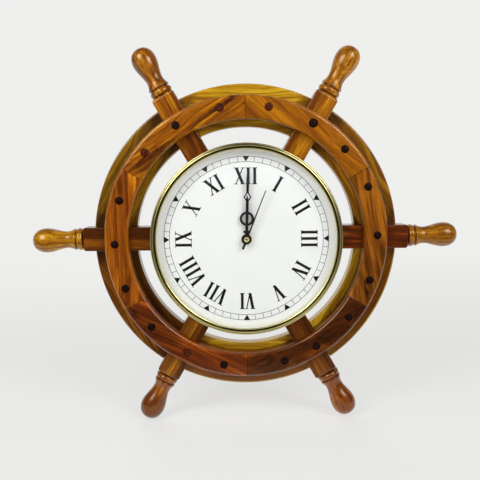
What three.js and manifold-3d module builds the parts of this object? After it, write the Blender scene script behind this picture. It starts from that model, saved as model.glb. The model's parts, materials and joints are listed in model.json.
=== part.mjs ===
// Ship wheel wall clock: a six-spoke wooden wheel with a round brass clock at its centre.
//
// Every piece is modelled in the wheel's own frame, in millimetres: x to the right and y up as seen from
// the front, and z out of the wall. The group at the end stands that frame upright, with its z along world
// -Y, and lowers the wheel until the middle of its hanger strip lies at the origin.

import * as THREE from 'three';
import { mergeVertices } from 'three/addons/utils/BufferGeometryUtils.js';
import Module from 'manifold-3d';

const wasm = await Module();
wasm.setup();

// Driving dimensions
const GAP = 0.3; // clearance between pieces that touch
const WHEEL_RADIUS = 228.6; // axis to handle tip: an 18 inch wheel
const SPOKE_COUNT = 6;
const SPOKE_WIDTH = 25;
const SPOKE_DEPTH = 22;
const SPOKE_BACK = 4; // the spokes' backs stand this far off the wall
const REAR_RIM = { inner: 117, outer: 162, depth: 15, ease: 1.5, easeSteps: 1 };
const FRONT_RING = { inner: 124, outer: 149, depth: 19, ease: 3.5, easeSteps: 2 };
const RIM_SEGMENTS = 60;
const PEG = { radius: 4, circle: 138, sink: 0.4, grip: 8 };
// Directions of each felloe's three pegs from its spoke, in degrees; they were drilled by hand
const PEG_DEGREES = [
  [-19.2, 0.9, 22.7],
  [-18.1, -0.4, 20],
  [-19, 1.4, 19.1],
  [-17.3, 2, 22],
  [-17.4, 2.3, 19.5],
  [-13, 2.5, 21.9],
];
const HANDLE = { length: 55, tenonRadius: 5, tenonLength: 18, segments: 12 };
const HUB = { radius: 92, bore: 50.2, tenon: 12, tenonLength: 20, segments: 40 };
const HANGER = { radius: 142, width: 30, foot: 8, height: 12, sheet: 1.2, recess: 4, teeth: 7 };
const NAIL_ROOM = 10; // free height of the recess below the hanger strip

const CASE_SHEET = 1; // brass sheet of the case
const CASE = { collar: 49.8, collarDepth: 12, waist: 90, radius: 96.5, ledge: 34.7, front: 43.5 };
const BEZEL = { radius: 99.5, opening: 93.4, back: 37, front: 48 };
const GLASS = { radius: 96.2, thickness: 2 };
const DIAL = { radius: 94.8, sheet: 1, flat: 87.5, hole: 4.6 };
const CLOCK_SEGMENTS = 40;

const HAND_SHEET = 0.6;
const HOUR_HAND = { length: 46, eye: 21.5, eyeRadius: 7.4, collar: 7.8, degrees: 1.3 };
const MINUTE_HAND = { length: 75, eye: 44, eyeWidth: 8.2, eyeLength: 9.4, degrees: 1.6 };
const SECOND_HAND = { length: 54.6, tail: 11.1, boss: 2.8, degrees: 21.7 };

const MOVEMENT = { width: 56, depth: 16, wall: 1.4, shelf: -11.4 }; // the shelf parts the train from the cell
const CELL = { radius: 7.1, length: 49.2, nubRadius: 2.7, nubLength: 1.3, segments: 16 };
const COVER_SHEET = 1.2;
const KNOB = { radius: 6, depth: 4.2, flutes: 8 };
const ARBOR = 0.55; // radius of the thin arbors
const SETTING_ARBOR = 0.7; // the one that carries the knob
const PIPE = { minuteBore: 0.95, minute: 1.75, hourBore: 2.15, hour: 2.8, neckBore: 3.3, neck: 4 };
const NUT = { radius: 5.2, depth: 1.6, segments: 20 };
const SMALL_SEGMENTS = 10;

// The wheel train: tooth counts give 30 turns of the rotor to one of the second wheel, 60 of that to one of
// the centre wheel, and 12 of that to one of the hour wheel. Each distance is between two axes that mesh.
const TEETH = { fifth: 36, second: 30, third: 45, centre: 48, minute: 24, hour: 24 };
const LEAVES = 6; // on every pinion but the cannon pinion
const CANNON_LEAVES = 8;
const DISTANCE = { third: 11, minute: 11.4, fifth: 9, rotor: 8.4 };
const BEARING = { third: 150, minute: 30, fifth: 90, rotor: 60 }; // directions of those axes, in degrees
const LAYER = { pitch: 1.5, wheel: 1 };
const MAGNET = { radius: 3.2, depth: 2 };
const STATOR = { x: [-14, 18], y: [11.2, 21.2], ear: 4, top: 25.8, sheet: 1 };
const COIL = { radius: 2.3, y: 23.9, margin: 5 };
const BOARD = { x: [-26, -13.5], y: [-8, 25.4], sheet: 1 };
const CHIP = { x: [-22, -17], y: [0, 6], height: 1.5 };
const BOSS_RADIUS = 1.7;
const POST = { radius: 1.2, underStator: [[-11.9, 13], [16, 13]], underBoard: [[-20, 20], [-20, -5]] };

// Places worked out from the dimensions
const SPOKE_FRONT = SPOKE_BACK + SPOKE_DEPTH;
const SPOKE_MIDDLE = (SPOKE_BACK + SPOKE_FRONT) / 2;
const SPOKE_END = WHEEL_RADIUS - HANDLE.length - GAP;
const RING_FRONT = REAR_RIM.depth + FRONT_RING.depth;
const DIAL_BACK = CASE.ledge + GAP;
const DIAL_FRONT = DIAL_BACK + DIAL.sheet;
const MOVEMENT_FRONT = DIAL_BACK - GAP;
const MOVEMENT_BACK = MOVEMENT_FRONT - MOVEMENT.depth;
const TRAIN_FRONT = MOVEMENT_FRONT - MOVEMENT.wall;
const COVER_FRONT = MOVEMENT_BACK - GAP;
const COVER_BACK = COVER_FRONT - COVER_SHEET;
const NUT_BACK = DIAL_FRONT + GAP;
const HOUR_HAND_BACK = NUT_BACK + NUT.depth + 0.8;
const HAND_STEP = 1.4; // from one hand's back to the next one's
const STEP = (2 * Math.PI) / SPOKE_COUNT;

// Closed solids from three.js geometry, with joins and cuts

function solid(geometry) {
  const bare = geometry.index ? geometry.toNonIndexed() : geometry.clone();
  bare.deleteAttribute('normal');
  bare.deleteAttribute('uv');
  const merged = mergeVertices(bare, 1e-4);
  const index = merged.index.array;
  const triangles = [];
  for (let i = 0; i < index.length; i += 3) {
    const [a, b, c] = [index[i], index[i + 1], index[i + 2]];
    if (a !== b && b !== c && c !== a) {
      triangles.push(a, b, c);
    }
  }
  const positions = merged.attributes.position.array;
  if (signedVolume(positions, triangles) < 0) {
    triangles.reverse();
  }
  const vertProperties = new Float32Array(positions);
  const triVerts = new Uint32Array(triangles);
  return new wasm.Manifold(new wasm.Mesh({ numProp: 3, vertProperties, triVerts }));
}

function signedVolume(positions, triangles) {
  const [a, b, c] = [new THREE.Vector3(), new THREE.Vector3(), new THREE.Vector3()];
  let volume = 0;
  for (let i = 0; i < triangles.length; i += 3) {
    a.fromArray(positions, 3 * triangles[i]);
    b.fromArray(positions, 3 * triangles[i + 1]);
    c.fromArray(positions, 3 * triangles[i + 2]);
    volume += a.dot(b.cross(c)) / 6;
  }
  return volume;
}

function join(...pieces) {
  return pieces.reduce((whole, piece) => whole.add(piece));
}

function cut(body, ...tools) {
  return tools.reduce((rest, tool) => rest.subtract(tool), body);
}

function toGeometry(body) {
  const mesh = body.getMesh();
  const geometry = new THREE.BufferGeometry();
  geometry.setAttribute('position', new THREE.BufferAttribute(mesh.vertProperties, 3));
  geometry.setIndex(new THREE.BufferAttribute(mesh.triVerts, 1));
  geometry.computeVertexNormals();
  return geometry;
}

// A solid of revolution about z; each profile point is [radius, z]
function turned(profile, segments) {
  const points = profile.map(([radius, z]) => new THREE.Vector2(radius, z));
  return solid(new THREE.LatheGeometry(points, segments).rotateX(Math.PI / 2));
}

// The same, for a ring whose profile closes on itself
function turnedRing(profile, segments) {
  return turned([...profile, profile[0]], segments);
}

// The same, lying along +x from the given start point
function turnedAlongX(profile, segments, start) {
  const points = profile.map(([radius, along]) => new THREE.Vector2(radius, along));
  return solid(new THREE.LatheGeometry(points, segments).rotateZ(-Math.PI / 2).translate(...start));
}

function rod(radius, from, to, x = 0, y = 0, segments = SMALL_SEGMENTS) {
  const geometry = new THREE.CylinderGeometry(radius, radius, to - from, segments);
  return solid(geometry.rotateX(Math.PI / 2).translate(x, y, (from + to) / 2));
}

function rodAlongX(radius, [from, to], y, z) {
  const geometry = new THREE.CylinderGeometry(radius, radius, to - from, SMALL_SEGMENTS);
  return solid(geometry.rotateZ(-Math.PI / 2).translate((from + to) / 2, y, z));
}

function block([x0, x1], [y0, y1], [z0, z1], turn = 0) {
  const geometry = new THREE.BoxGeometry(x1 - x0, y1 - y0, z1 - z0);
  return solid(geometry.translate((x0 + x1) / 2, (y0 + y1) / 2, (z0 + z1) / 2).rotateZ(turn));
}

function plate(shape, from, to, curveSegments = 8) {
  const options = { depth: to - from, bevelEnabled: false, curveSegments };
  return solid(new THREE.ExtrudeGeometry(shape, options).translate(0, 0, from));
}

function outline(points) {
  return new THREE.Shape(points.map(([x, y]) => new THREE.Vector2(x, y)));
}

// The radius of a hole whose flats keep the gap to a round piece
function clear(radius) {
  return (radius + GAP) / Math.cos(Math.PI / SMALL_SEGMENTS);
}

function polar(radius, angle) {
  return [radius * Math.cos(angle), radius * Math.sin(angle)];
}

// Materials

function material(color, roughness, metalness = 0) {
  return new THREE.MeshStandardMaterial({ color, roughness, metalness });
}

const goldenWood = material(0xa8691f, 0.32);
const orangeWood = material(0x965010, 0.3);
const redWood = material(0x5a2412, 0.34);
const pegWood = material(0x1c0b08, 0.45);
const brass = material(0xb8a860, 0.22, 1);
const clearGlass = material(0xf4f7f6, 0.05);
const enamel = material(0xf5f7f4, 0.4);
const blackSteel = material(0x0b0b0c, 0.4, 0.6);
const steel = material(0xa9acae, 0.35, 1);
const blackPlastic = material(0x18191b, 0.5);
const whitePlastic = material(0xe6e4da, 0.5);
const cellJacket = material(0x2f6a8c, 0.35);
const circuitGreen = material(0x1d5a35, 0.5);

const wheel = new THREE.Group();

function addPiece(name, body, look, [x, y] = [0, 0], turn = 0) {
  const mesh = new THREE.Mesh(toGeometry(body), look);
  mesh.name = name;
  mesh.position.set(x, y, 0);
  mesh.rotation.z = turn;
  wheel.add(mesh);
}

// Wheel

// Section of a ring whose two front edges are rounded or chamfered
function easedSection({ inner, outer, ease, easeSteps }, back, front) {
  const rise = [];
  for (let i = 0; i <= easeSteps; i++) {
    const angle = ((i / easeSteps) * Math.PI) / 2;
    rise.push([ease * (1 - Math.cos(angle)), front - ease * (1 - Math.sin(angle))]);
  }
  const outside = rise.map(([inset, z]) => [outer - inset, z]);
  const inside = rise.map(([inset, z]) => [inner + inset, z]).reverse();
  return [[inner, back], [outer, back], ...outside, ...inside];
}

function pegAngles(k) {
  return PEG_DEGREES[k].map(THREE.MathUtils.degToRad);
}

function rearRim() {
  let rim = turnedRing(easedSection(REAR_RIM, 0, REAR_RIM.depth), RIM_SEGMENTS);
  const half = SPOKE_WIDTH / 2 + GAP;
  const slotEnds = [REAR_RIM.inner - 5, REAR_RIM.outer + 5];
  const slotDepth = [SPOKE_BACK - GAP, REAR_RIM.depth + 1];
  for (let k = 0; k < SPOKE_COUNT; k++) {
    rim = rim.subtract(block(slotEnds, [-half, half], slotDepth, k * STEP));
    const [first, , last] = pegAngles(k);
    for (const angle of [first, last]) {
      const [x, y] = polar(PEG.circle, k * STEP + angle);
      const floor = REAR_RIM.depth - PEG.grip - GAP;
      rim = rim.subtract(rod(clear(PEG.radius), floor, REAR_RIM.depth + 1, x, y));
    }
  }
  const long = HANGER.width / 2 + HANGER.foot + 2;
  const halfHeight = HANGER.height / 2;
  const ends = [HANGER.radius - halfHeight - NAIL_ROOM, HANGER.radius + halfHeight + 3];
  return rim.subtract(block([-long, long], ends, [-1, HANGER.recess]));
}

// One sixth of the front ring, centred on a spoke and housed over it
function frontFelloe(pegs) {
  const ring = turnedRing(easedSection(FRONT_RING, REAR_RIM.depth + GAP, RING_FRONT), RIM_SEGMENTS);
  const reach = FRONT_RING.outer * 1.3;
  const side = polar(reach, STEP / 2);
  const shift = GAP / 2 / Math.sin(STEP / 2); // keeps half the gap clear of each joint
  const wedge = outline([[shift, 0], [side[0] + shift, side[1]], [side[0] + shift, -side[1]]]);
  const felloe = ring.intersect(plate(wedge, 0, RING_FRONT + 1));
  const half = SPOKE_WIDTH / 2 + GAP;
  const housing = block([FRONT_RING.inner - 5, FRONT_RING.outer + 5], [-half, half], [0, SPOKE_FRONT + GAP]);
  const holes = pegs.map((angle) => {
    const [x, y] = polar(PEG.circle, angle);
    return rod(clear(PEG.radius), 0, RING_FRONT + 1, x, y);
  });
  return cut(felloe, housing, ...holes);
}

// A square bar lying along +x, with a tenon for the hub and a socket for the handle
function spoke(pegAngle) {
  const half = SPOKE_WIDTH / 2;
  const start = HUB.radius + GAP;
  const bar = block([start, SPOKE_END], [-half, half], [SPOKE_BACK, SPOKE_FRONT]);
  const t = HUB.tenon / 2;
  const tenonEnds = [start - HUB.tenonLength, start + 1];
  const tenon = block(tenonEnds, [-t, t], [SPOKE_MIDDLE - t, SPOKE_MIDDLE + t]);
  const socketEnds = [SPOKE_END - HANDLE.tenonLength - 1, SPOKE_END + 1];
  const socket = rodAlongX(clear(HANDLE.tenonRadius), socketEnds, 0, SPOKE_MIDDLE);
  const pegFloor = SPOKE_FRONT - PEG.grip - GAP;
  const pegHole = rod(clear(PEG.radius), pegFloor, SPOKE_FRONT + 1, ...polar(PEG.circle, pegAngle));
  return cut(join(bar, tenon), socket, pegHole);
}

// A turned handle along +x: tenon, bead, groove, flared lip, waist and egg-shaped grip
function handle() {
  const grip = new THREE.SplineCurve([
    new THREE.Vector2(11.3, 10),
    new THREE.Vector2(9.3, 15),
    new THREE.Vector2(9.4, 21),
    new THREE.Vector2(11.6, 31),
    new THREE.Vector2(13.05, 39.5),
    new THREE.Vector2(11.4, 48.5),
    new THREE.Vector2(6.4, 53.6),
    new THREE.Vector2(0, HANDLE.length),
  ]);
  const points = [
    [0, -HANDLE.tenonLength],
    [HANDLE.tenonRadius, -HANDLE.tenonLength],
    [HANDLE.tenonRadius, 0],
    [10.6, 0],
    [11.8, 1.8],
    [11.8, 4.6],
    [10.4, 6.6],
    [10.4, 7.4],
    [11.4, 8.4],
    ...grip.getSpacedPoints(10).map((p) => [Math.max(p.x, 0), p.y]),
  ];
  return turnedAlongX(points, HANDLE.segments, [SPOKE_END + GAP, 0, SPOKE_MIDDLE]);
}

function hub() {
  let ring = turnedRing([
    [HUB.bore, SPOKE_BACK],
    [HUB.radius, SPOKE_BACK],
    [HUB.radius, SPOKE_FRONT],
    [HUB.bore, SPOKE_FRONT],
  ], HUB.segments);
  const half = HUB.tenon / 2 + GAP;
  const floor = HUB.radius - HUB.tenonLength - GAP;
  const depth = [SPOKE_MIDDLE - half, SPOKE_MIDDLE + half];
  for (let k = 0; k < SPOKE_COUNT; k++) {
    ring = ring.subtract(block([floor, HUB.radius + 1], [-half, half], depth, k * STEP));
  }
  return ring;
}

// A bridge of sheet brass with a toothed lower edge, standing on two feet in the rim's recess
function hanger() {
  const half = HANGER.width / 2;
  const top = HANGER.height / 2;
  const tooth = HANGER.width / (HANGER.teeth + 1);
  const edge = [];
  for (let i = 0; i < HANGER.teeth; i++) {
    const x = -half + tooth * (i + 0.5);
    edge.push([x, -top], [x + tooth / 2, -top + tooth / 2]);
  }
  const points = [[-half, top], [-half, -top], ...edge, [half - tooth / 2, -top], [half, -top], [half, top]];
  const bridge = plate(outline(points), 0, HANGER.sheet);
  const footBack = HANGER.recess - GAP - HANGER.sheet;
  const sides = [-1, 1].map((side) => {
    const inner = side * (half - HANGER.sheet);
    const outer = side * (half + HANGER.foot);
    const leg = block([Math.min(inner, side * half), Math.max(inner, side * half)], [-top, top],
      [0, footBack + HANGER.sheet]);
    const foot = block([Math.min(inner, outer), Math.max(inner, outer)], [-top, top],
      [footBack, footBack + HANGER.sheet]);
    return leg.add(foot);
  });
  return join(bridge, ...sides);
}

// Clock case

function casePan() {
  const s = CASE_SHEET;
  const back = SPOKE_FRONT + GAP;
  return turnedRing([
    [CASE.collar - s, back - CASE.collarDepth],
    [CASE.collar, back - CASE.collarDepth],
    [CASE.collar, back],
    [CASE.waist, back],
    [CASE.waist, CASE.ledge - s],
    [CASE.radius, CASE.ledge - s],
    [CASE.radius, CASE.front],
    [CASE.radius - s, CASE.front],
    [CASE.radius - s, CASE.ledge],
    [CASE.waist - s, CASE.ledge],
    [CASE.waist - s, back + s],
    [CASE.collar - s, back + s],
  ], CLOCK_SEGMENTS);
}

// Rolled brass ring with an outer bead, two grooves and a bright inner bead over the glass
function bezel() {
  const { radius, opening, back, front } = BEZEL;
  const seat = CASE.front + 2 * GAP + GLASS.thickness + GAP;
  const skirt = CASE.radius + GAP + 0.2;
  return turnedRing([
    [opening, seat],
    [skirt, seat],
    [skirt, back],
    [radius - 0.9, back],
    [radius, back + 3],
    [radius, front - 3.6],
    [radius - 0.8, front - 1.5],
    [radius - 2.1, front - 1.3],
    [radius - 2.7, front - 0.3],
    [radius - 3.7, front - 0.2],
    [radius - 4.5, front - 0.9],
    [radius - 5.3, front],
    [opening, front - 0.6],
  ], CLOCK_SEGMENTS);
}

function glass() {
  const back = CASE.front + 1.2 * GAP;
  return rod(GLASS.radius, back, back + GLASS.thickness, 0, 0, CLOCK_SEGMENTS);
}

// A pressed dial: flat to the minute track, then curved up into a rim that stands under the glass
function dial() {
  const inside = DIAL.radius - DIAL.sheet;
  return turnedRing([
    [DIAL.hole, DIAL_BACK],
    [DIAL.radius, DIAL_BACK],
    [DIAL.radius, CASE.front],
    [inside, CASE.front],
    [inside - 0.5, DIAL_FRONT + 2.4],
    [inside - 2.6, DIAL_FRONT + 0.6],
    [DIAL.flat, DIAL_FRONT],
    [DIAL.hole, DIAL_FRONT],
  ], CLOCK_SEGMENTS);
}

// Hands, each pointing along +y from its own axis

function ringOutline(x, y, outer, inner) {
  const shape = new THREE.Shape().absarc(x, y, outer, 0, 2 * Math.PI);
  shape.holes.push(new THREE.Path().absarc(x, y, inner, 0, 2 * Math.PI, true));
  return shape;
}

function hourHand() {
  const back = HOUR_HAND_BACK;
  const front = back + HAND_SHEET;
  const { length, eye, eyeRadius, collar } = HOUR_HAND;
  const hubDisc = rod(NUT.radius + 0.2, back, front, 0, 0, NUT.segments);
  const eyeRing = plate(ringOutline(0, eye, eyeRadius, eyeRadius - 2.4), back, front);
  const stem = plate(outline([[-1.4, 3], [1.4, 3], [1.4, eye - eyeRadius + 1], [-1.4, eye - eyeRadius + 1]]),
    back, front);
  const crescent = plate(outline([[-3, collar + 1.6], [-1.6, collar - 0.4], [1.6, collar - 0.4],
    [3, collar + 1.6], [0, collar + 0.9]]), back, front);
  const root = eye + eyeRadius;
  const blade = plate(outline([[-1.4, root - 1], [1.4, root - 1], [1.4, root + 8], [0.3, length],
    [-0.3, length], [-1.4, root + 8]]), back, front);
  const bore = rod(clear(PIPE.hour), back - 1, front + 1);
  return cut(join(hubDisc, eyeRing, stem, crescent, blade), bore);
}

function minuteHand() {
  const back = HOUR_HAND_BACK + HAND_STEP;
  const front = back + HAND_SHEET;
  const { length, eye, eyeWidth, eyeLength } = MINUTE_HAND;
  const hubDisc = rod(4.4, back, front);
  const lozenge = (share) => outline([
    [0, eye - share * eyeLength / 2], [share * eyeWidth / 2, eye],
    [0, eye + share * eyeLength / 2], [-share * eyeWidth / 2, eye]]);
  const eyeFrame = lozenge(1);
  eyeFrame.holes.push(lozenge(0.5));
  const stemTop = eye - eyeLength / 2 + 1.2;
  const stem = plate(outline([[-1.5, 3], [1.5, 3], [1.4, stemTop], [-1.4, stemTop]]), back, front);
  const root = eye + eyeLength / 2 - 1.2;
  const blade = plate(outline([[-1.3, root], [1.3, root], [1.5, root + 9], [0.3, length], [-0.3, length],
    [-1.5, root + 9]]), back, front);
  const bore = rod(clear(PIPE.minute), back - 1, front + 1);
  return cut(join(hubDisc, plate(eyeFrame, back, front), stem, blade), bore);
}

function secondHand() {
  const back = HOUR_HAND_BACK + 2 * HAND_STEP;
  const front = back + HAND_SHEET;
  const { length, tail, boss } = SECOND_HAND;
  const needle = plate(outline([[-0.8, 0], [0.8, 0], [0.4, length], [-0.4, length]]), back, front);
  const tailBar = plate(outline([[-1.2, 1.2 - tail], [1.2, 1.2 - tail], [0.8, 0], [-0.8, 0]]), back, front);
  const tailEnd = rod(1.2, back, front, 0, 1.2 - tail);
  const cap = rod(boss, back, front + HAND_SHEET);
  const socket = rod(clear(ARBOR), back - 1, front + 0.2);
  return cut(join(needle, tailBar, tailEnd, cap), socket);
}

// Turns a hand clockwise from 12 to where it stands in the photo
function addHand(name, body, { degrees }) {
  addPiece(name, body, blackSteel, [0, 0], -THREE.MathUtils.degToRad(degrees));
}

// Movement

const axes = { main: [0, 0] };
for (const name of ['third', 'minute', 'fifth']) {
  axes[name] = polar(DISTANCE[name], THREE.MathUtils.degToRad(BEARING[name]));
}
const rotorStep = polar(DISTANCE.rotor, THREE.MathUtils.degToRad(BEARING.rotor));
axes.rotor = [axes.fifth[0] + rotorStep[0], axes.fifth[1] + rotorStep[1]];

// Layer 0 holds the hour wheel, just behind the front wall, and layer 5 the fifth wheel
function layerBack(i) {
  return TRAIN_FRONT - 0.4 - LAYER.wheel - LAYER.pitch * i;
}

function layerFront(i) {
  return layerBack(i) + LAYER.wheel;
}

// Toothed outline with a tooth centred at the angle phase; teeth are slim, so that they mesh with some play
function toothed(teeth, module, phase, isPinion) {
  const pitchRadius = (teeth * module) / 2;
  const tip = pitchRadius + module * (isPinion ? 0.6 : 0.85);
  const root = pitchRadius - module * 1.2;
  const pitch = (2 * Math.PI) / teeth;
  const rootHalf = pitch * (isPinion ? 0.2 : 0.27);
  const tipHalf = pitch * (isPinion ? 0.09 : 0.08);
  const points = [];
  for (let k = 0; k < teeth; k++) {
    const middle = phase + k * pitch;
    points.push(polar(root, middle - rootHalf), polar(tip, middle - tipHalf));
    points.push(polar(tip, middle + tipHalf), polar(root, middle + rootHalf));
  }
  return outline(points);
}

// The phase that sets a gear's gap against the tooth of the gear it meshes with, seen along its bearing
function meshPhase(bearing, driverTeeth, driverPhase, teeth) {
  return bearing + Math.PI - ((driverPhase - bearing) * driverTeeth) / teeth + Math.PI / teeth;
}

function bearingOf(from, to) {
  return Math.atan2(axes[to][1] - axes[from][1], axes[to][0] - axes[from][0]);
}

// A pair that meshes: the pinion stands at phase 0 on its own axis and the wheel is set to it
function meshPair(pinionAxis, wheelAxis, distance, leaves, teeth) {
  const module = (2 * distance) / (leaves + teeth);
  const phase = meshPhase(bearingOf(pinionAxis, wheelAxis), leaves, 0, teeth);
  return { module, leaves, teeth, phase };
}

const pairs = {
  fifth: meshPair('rotor', 'fifth', DISTANCE.rotor, LEAVES, TEETH.fifth),
  second: meshPair('fifth', 'main', DISTANCE.fifth, LEAVES, TEETH.second),
  third: meshPair('main', 'third', DISTANCE.third, LEAVES, TEETH.third),
  centre: meshPair('third', 'main', DISTANCE.third, LEAVES, TEETH.centre),
  minute: meshPair('main', 'minute', DISTANCE.minute, CANNON_LEAVES, TEETH.minute),
  hour: meshPair('minute', 'main', DISTANCE.minute, LEAVES, TEETH.hour),
};

function trainWheel({ module, teeth, phase }, layer) {
  return plate(toothed(teeth, module, phase, false), layerBack(layer), layerFront(layer));
}

// A pinion reaches from the front of its own wheel, one layer behind, through the layer of its mate
function trainPinion({ module, leaves }, layer, from = layerFront(layer + 1)) {
  return plate(toothed(leaves, module, 0, true), from, layerFront(layer) + 0.2);
}

const PIVOT_BACK = COVER_FRONT + 1.1;
const PIVOT_FRONT = TRAIN_FRONT + 0.7;

function hourWheel() {
  const pipe = rod(PIPE.hour, layerBack(0), HOUR_HAND_BACK + HAND_SHEET + 0.2);
  const bore = rod(PIPE.hourBore, 0, CASE.front);
  return cut(join(trainWheel(pairs.hour, 0), pipe), bore);
}

function minuteWheel() {
  const arbor = rod(SETTING_ARBOR, COVER_BACK - GAP - KNOB.depth / 2, PIVOT_FRONT);
  return join(trainWheel(pairs.minute, 1), trainPinion(pairs.hour, 0), arbor);
}

function centreWheel() {
  const pipe = rod(PIPE.minute, layerBack(2), HOUR_HAND_BACK + HAND_STEP + HAND_SHEET + 0.2);
  const bore = rod(PIPE.minuteBore, 0, CASE.front);
  return cut(join(trainWheel(pairs.centre, 2), trainPinion(pairs.minute, 1), pipe), bore);
}

function thirdWheel() {
  const arbor = rod(ARBOR, PIVOT_BACK, PIVOT_FRONT);
  return join(trainWheel(pairs.third, 3), trainPinion(pairs.centre, 2), arbor);
}

function secondWheel() {
  const arbor = rod(ARBOR, PIVOT_BACK, HOUR_HAND_BACK + 2 * HAND_STEP + HAND_SHEET);
  return join(trainWheel(pairs.second, 4), trainPinion(pairs.third, 3), arbor);
}

function fifthWheel() {
  const arbor = rod(ARBOR, PIVOT_BACK, layerFront(5));
  return join(trainWheel(pairs.fifth, 5), trainPinion(pairs.second, 4), arbor);
}

const MAGNET_FRONT = layerBack(5) - GAP;

function rotor() {
  const magnet = rod(MAGNET.radius, MAGNET_FRONT - MAGNET.depth, MAGNET_FRONT);
  const pinion = trainPinion(pairs.fifth, 5, MAGNET_FRONT - 0.2);
  return join(magnet, pinion, rod(ARBOR, PIVOT_BACK, MAGNET_FRONT));
}

// Steel plate round the rotor, with two ears that carry the coil's core
function stator() {
  const front = MAGNET_FRONT;
  const back = front - STATOR.sheet;
  const [left, right] = STATOR.x;
  const body = block(STATOR.x, STATOR.y, [back, front]);
  const ears = [[left, left + STATOR.ear], [right - STATOR.ear, right]].map(
    (ends) => block(ends, [STATOR.y[1] - 1, STATOR.top], [back, front]));
  const eye = rod(MAGNET.radius + 0.7, back - 1, front + 1, ...axes.rotor);
  return cut(join(body, ...ears), eye);
}

// The coil on its core, soldered to the circuit board that carries the timing chip
function coilBoard() {
  const front = MAGNET_FRONT - STATOR.sheet - GAP;
  const back = front - BOARD.sheet;
  const board = block(BOARD.x, BOARD.y, [back, front]);
  const core = block(STATOR.x, [COIL.y - 1.5, COIL.y + 1.5], [back, front]);
  const [left, right] = STATOR.x;
  const windingEnds = [left + COIL.margin, right - COIL.margin];
  const winding = rodAlongX(COIL.radius, windingEnds, COIL.y, (front + back) / 2);
  const chip = block(CHIP.x, CHIP.y, [back, front + CHIP.height]);
  return join(board, core, winding, chip);
}

function movementCase() {
  const half = MOVEMENT.width / 2;
  const inside = half - MOVEMENT.wall;
  const shell = block([-half, half], [-half, half], [MOVEMENT_BACK, MOVEMENT_FRONT]);
  const neck = rod(PIPE.neck, MOVEMENT_FRONT - 1, NUT_BACK + NUT.depth - 0.2);
  const reach = [MOVEMENT_BACK - 1, TRAIN_FRONT];
  const trainRoom = block([-inside, inside], [MOVEMENT.shelf + MOVEMENT.wall / 2, inside], reach);
  const cellRoom = block([-inside, inside], [-inside, MOVEMENT.shelf - MOVEMENT.wall / 2], reach);
  const neckBore = rod(PIPE.neckBore, MOVEMENT_FRONT - 3, MOVEMENT_FRONT + 8);
  const pivotHole = (arbor, place) => rod(clear(arbor), TRAIN_FRONT - 1, PIVOT_FRONT + GAP, ...place);
  const pivots = [pivotHole(ARBOR, axes.third), pivotHole(SETTING_ARBOR, axes.minute)];
  return cut(join(shell, neck), trainRoom, cellRoom, neckBore, ...pivots);
}

// Back plate of the train room, with a bored boss behind each arbor and posts under the stator and board
function movementCover() {
  const half = MOVEMENT.width / 2;
  const sheet = block([-half, half], [MOVEMENT.shelf - MOVEMENT.wall / 2, half], [COVER_BACK, COVER_FRONT]);
  const bossFront = {
    main: layerBack(5) - 0.5,
    third: layerBack(3) - 0.5,
    fifth: layerBack(5) - 0.5,
    rotor: MAGNET_FRONT - MAGNET.depth - GAP,
  };
  const bosses = Object.keys(bossFront).map(
    (name) => rod(BOSS_RADIUS, COVER_FRONT - 0.5, bossFront[name], ...axes[name]));
  const bores = Object.keys(bossFront).map(
    (name) => rod(clear(ARBOR), PIVOT_BACK - GAP, bossFront[name] + 1, ...axes[name]));
  const statorBack = MAGNET_FRONT - STATOR.sheet;
  const boardBack = statorBack - GAP - BOARD.sheet;
  const postTo = (top) => ([x, y]) => rod(POST.radius, COVER_FRONT - 0.5, top - GAP, x, y);
  const posts = [...POST.underStator.map(postTo(statorBack)), ...POST.underBoard.map(postTo(boardBack))];
  const knobHole = rod(clear(SETTING_ARBOR), COVER_BACK - 1, COVER_FRONT + 1, ...axes.minute);
  return cut(join(sheet, ...bosses, ...posts), knobHole, ...bores);
}

function settingKnob() {
  const front = COVER_BACK - GAP;
  let knob = rod(KNOB.radius, front - KNOB.depth, front, 0, 0, 2 * KNOB.flutes);
  for (let k = 0; k < KNOB.flutes; k++) {
    const [x, y] = polar(KNOB.radius + 0.4, (2 * Math.PI * (k + 0.5)) / KNOB.flutes);
    knob = knob.subtract(rod(0.9, front - KNOB.depth - 1, front - 1, x, y, 6));
  }
  return knob.subtract(rod(clear(SETTING_ARBOR), front - KNOB.depth / 2 - GAP, front + 1));
}

// The dry cell lies along x in its own room, open to the back
function cell() {
  const roomTop = MOVEMENT.shelf - MOVEMENT.wall / 2;
  const roomFloor = MOVEMENT.wall - MOVEMENT.width / 2;
  const start = -(CELL.length + CELL.nubLength) / 2;
  const profile = [
    [0, start],
    [CELL.radius - 0.5, start],
    [CELL.radius, start + 0.5],
    [CELL.radius, start + CELL.length - 0.5],
    [CELL.radius - 0.5, start + CELL.length],
    [CELL.nubRadius, start + CELL.length],
    [CELL.nubRadius, -start],
    [0, -start],
  ];
  const middle = [0, (roomTop + roomFloor) / 2, TRAIN_FRONT - GAP - CELL.radius];
  return turnedAlongX(profile, CELL.segments, middle);
}

// A round nut on the movement's neck, small enough to hide behind the hands
function fixingNut() {
  const body = rod(NUT.radius, NUT_BACK, NUT_BACK + NUT.depth, 0, 0, NUT.segments);
  return body.subtract(rod(clear(PIPE.neck), NUT_BACK - 1, NUT_BACK + NUT.depth + 1));
}

// Assembly

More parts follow.
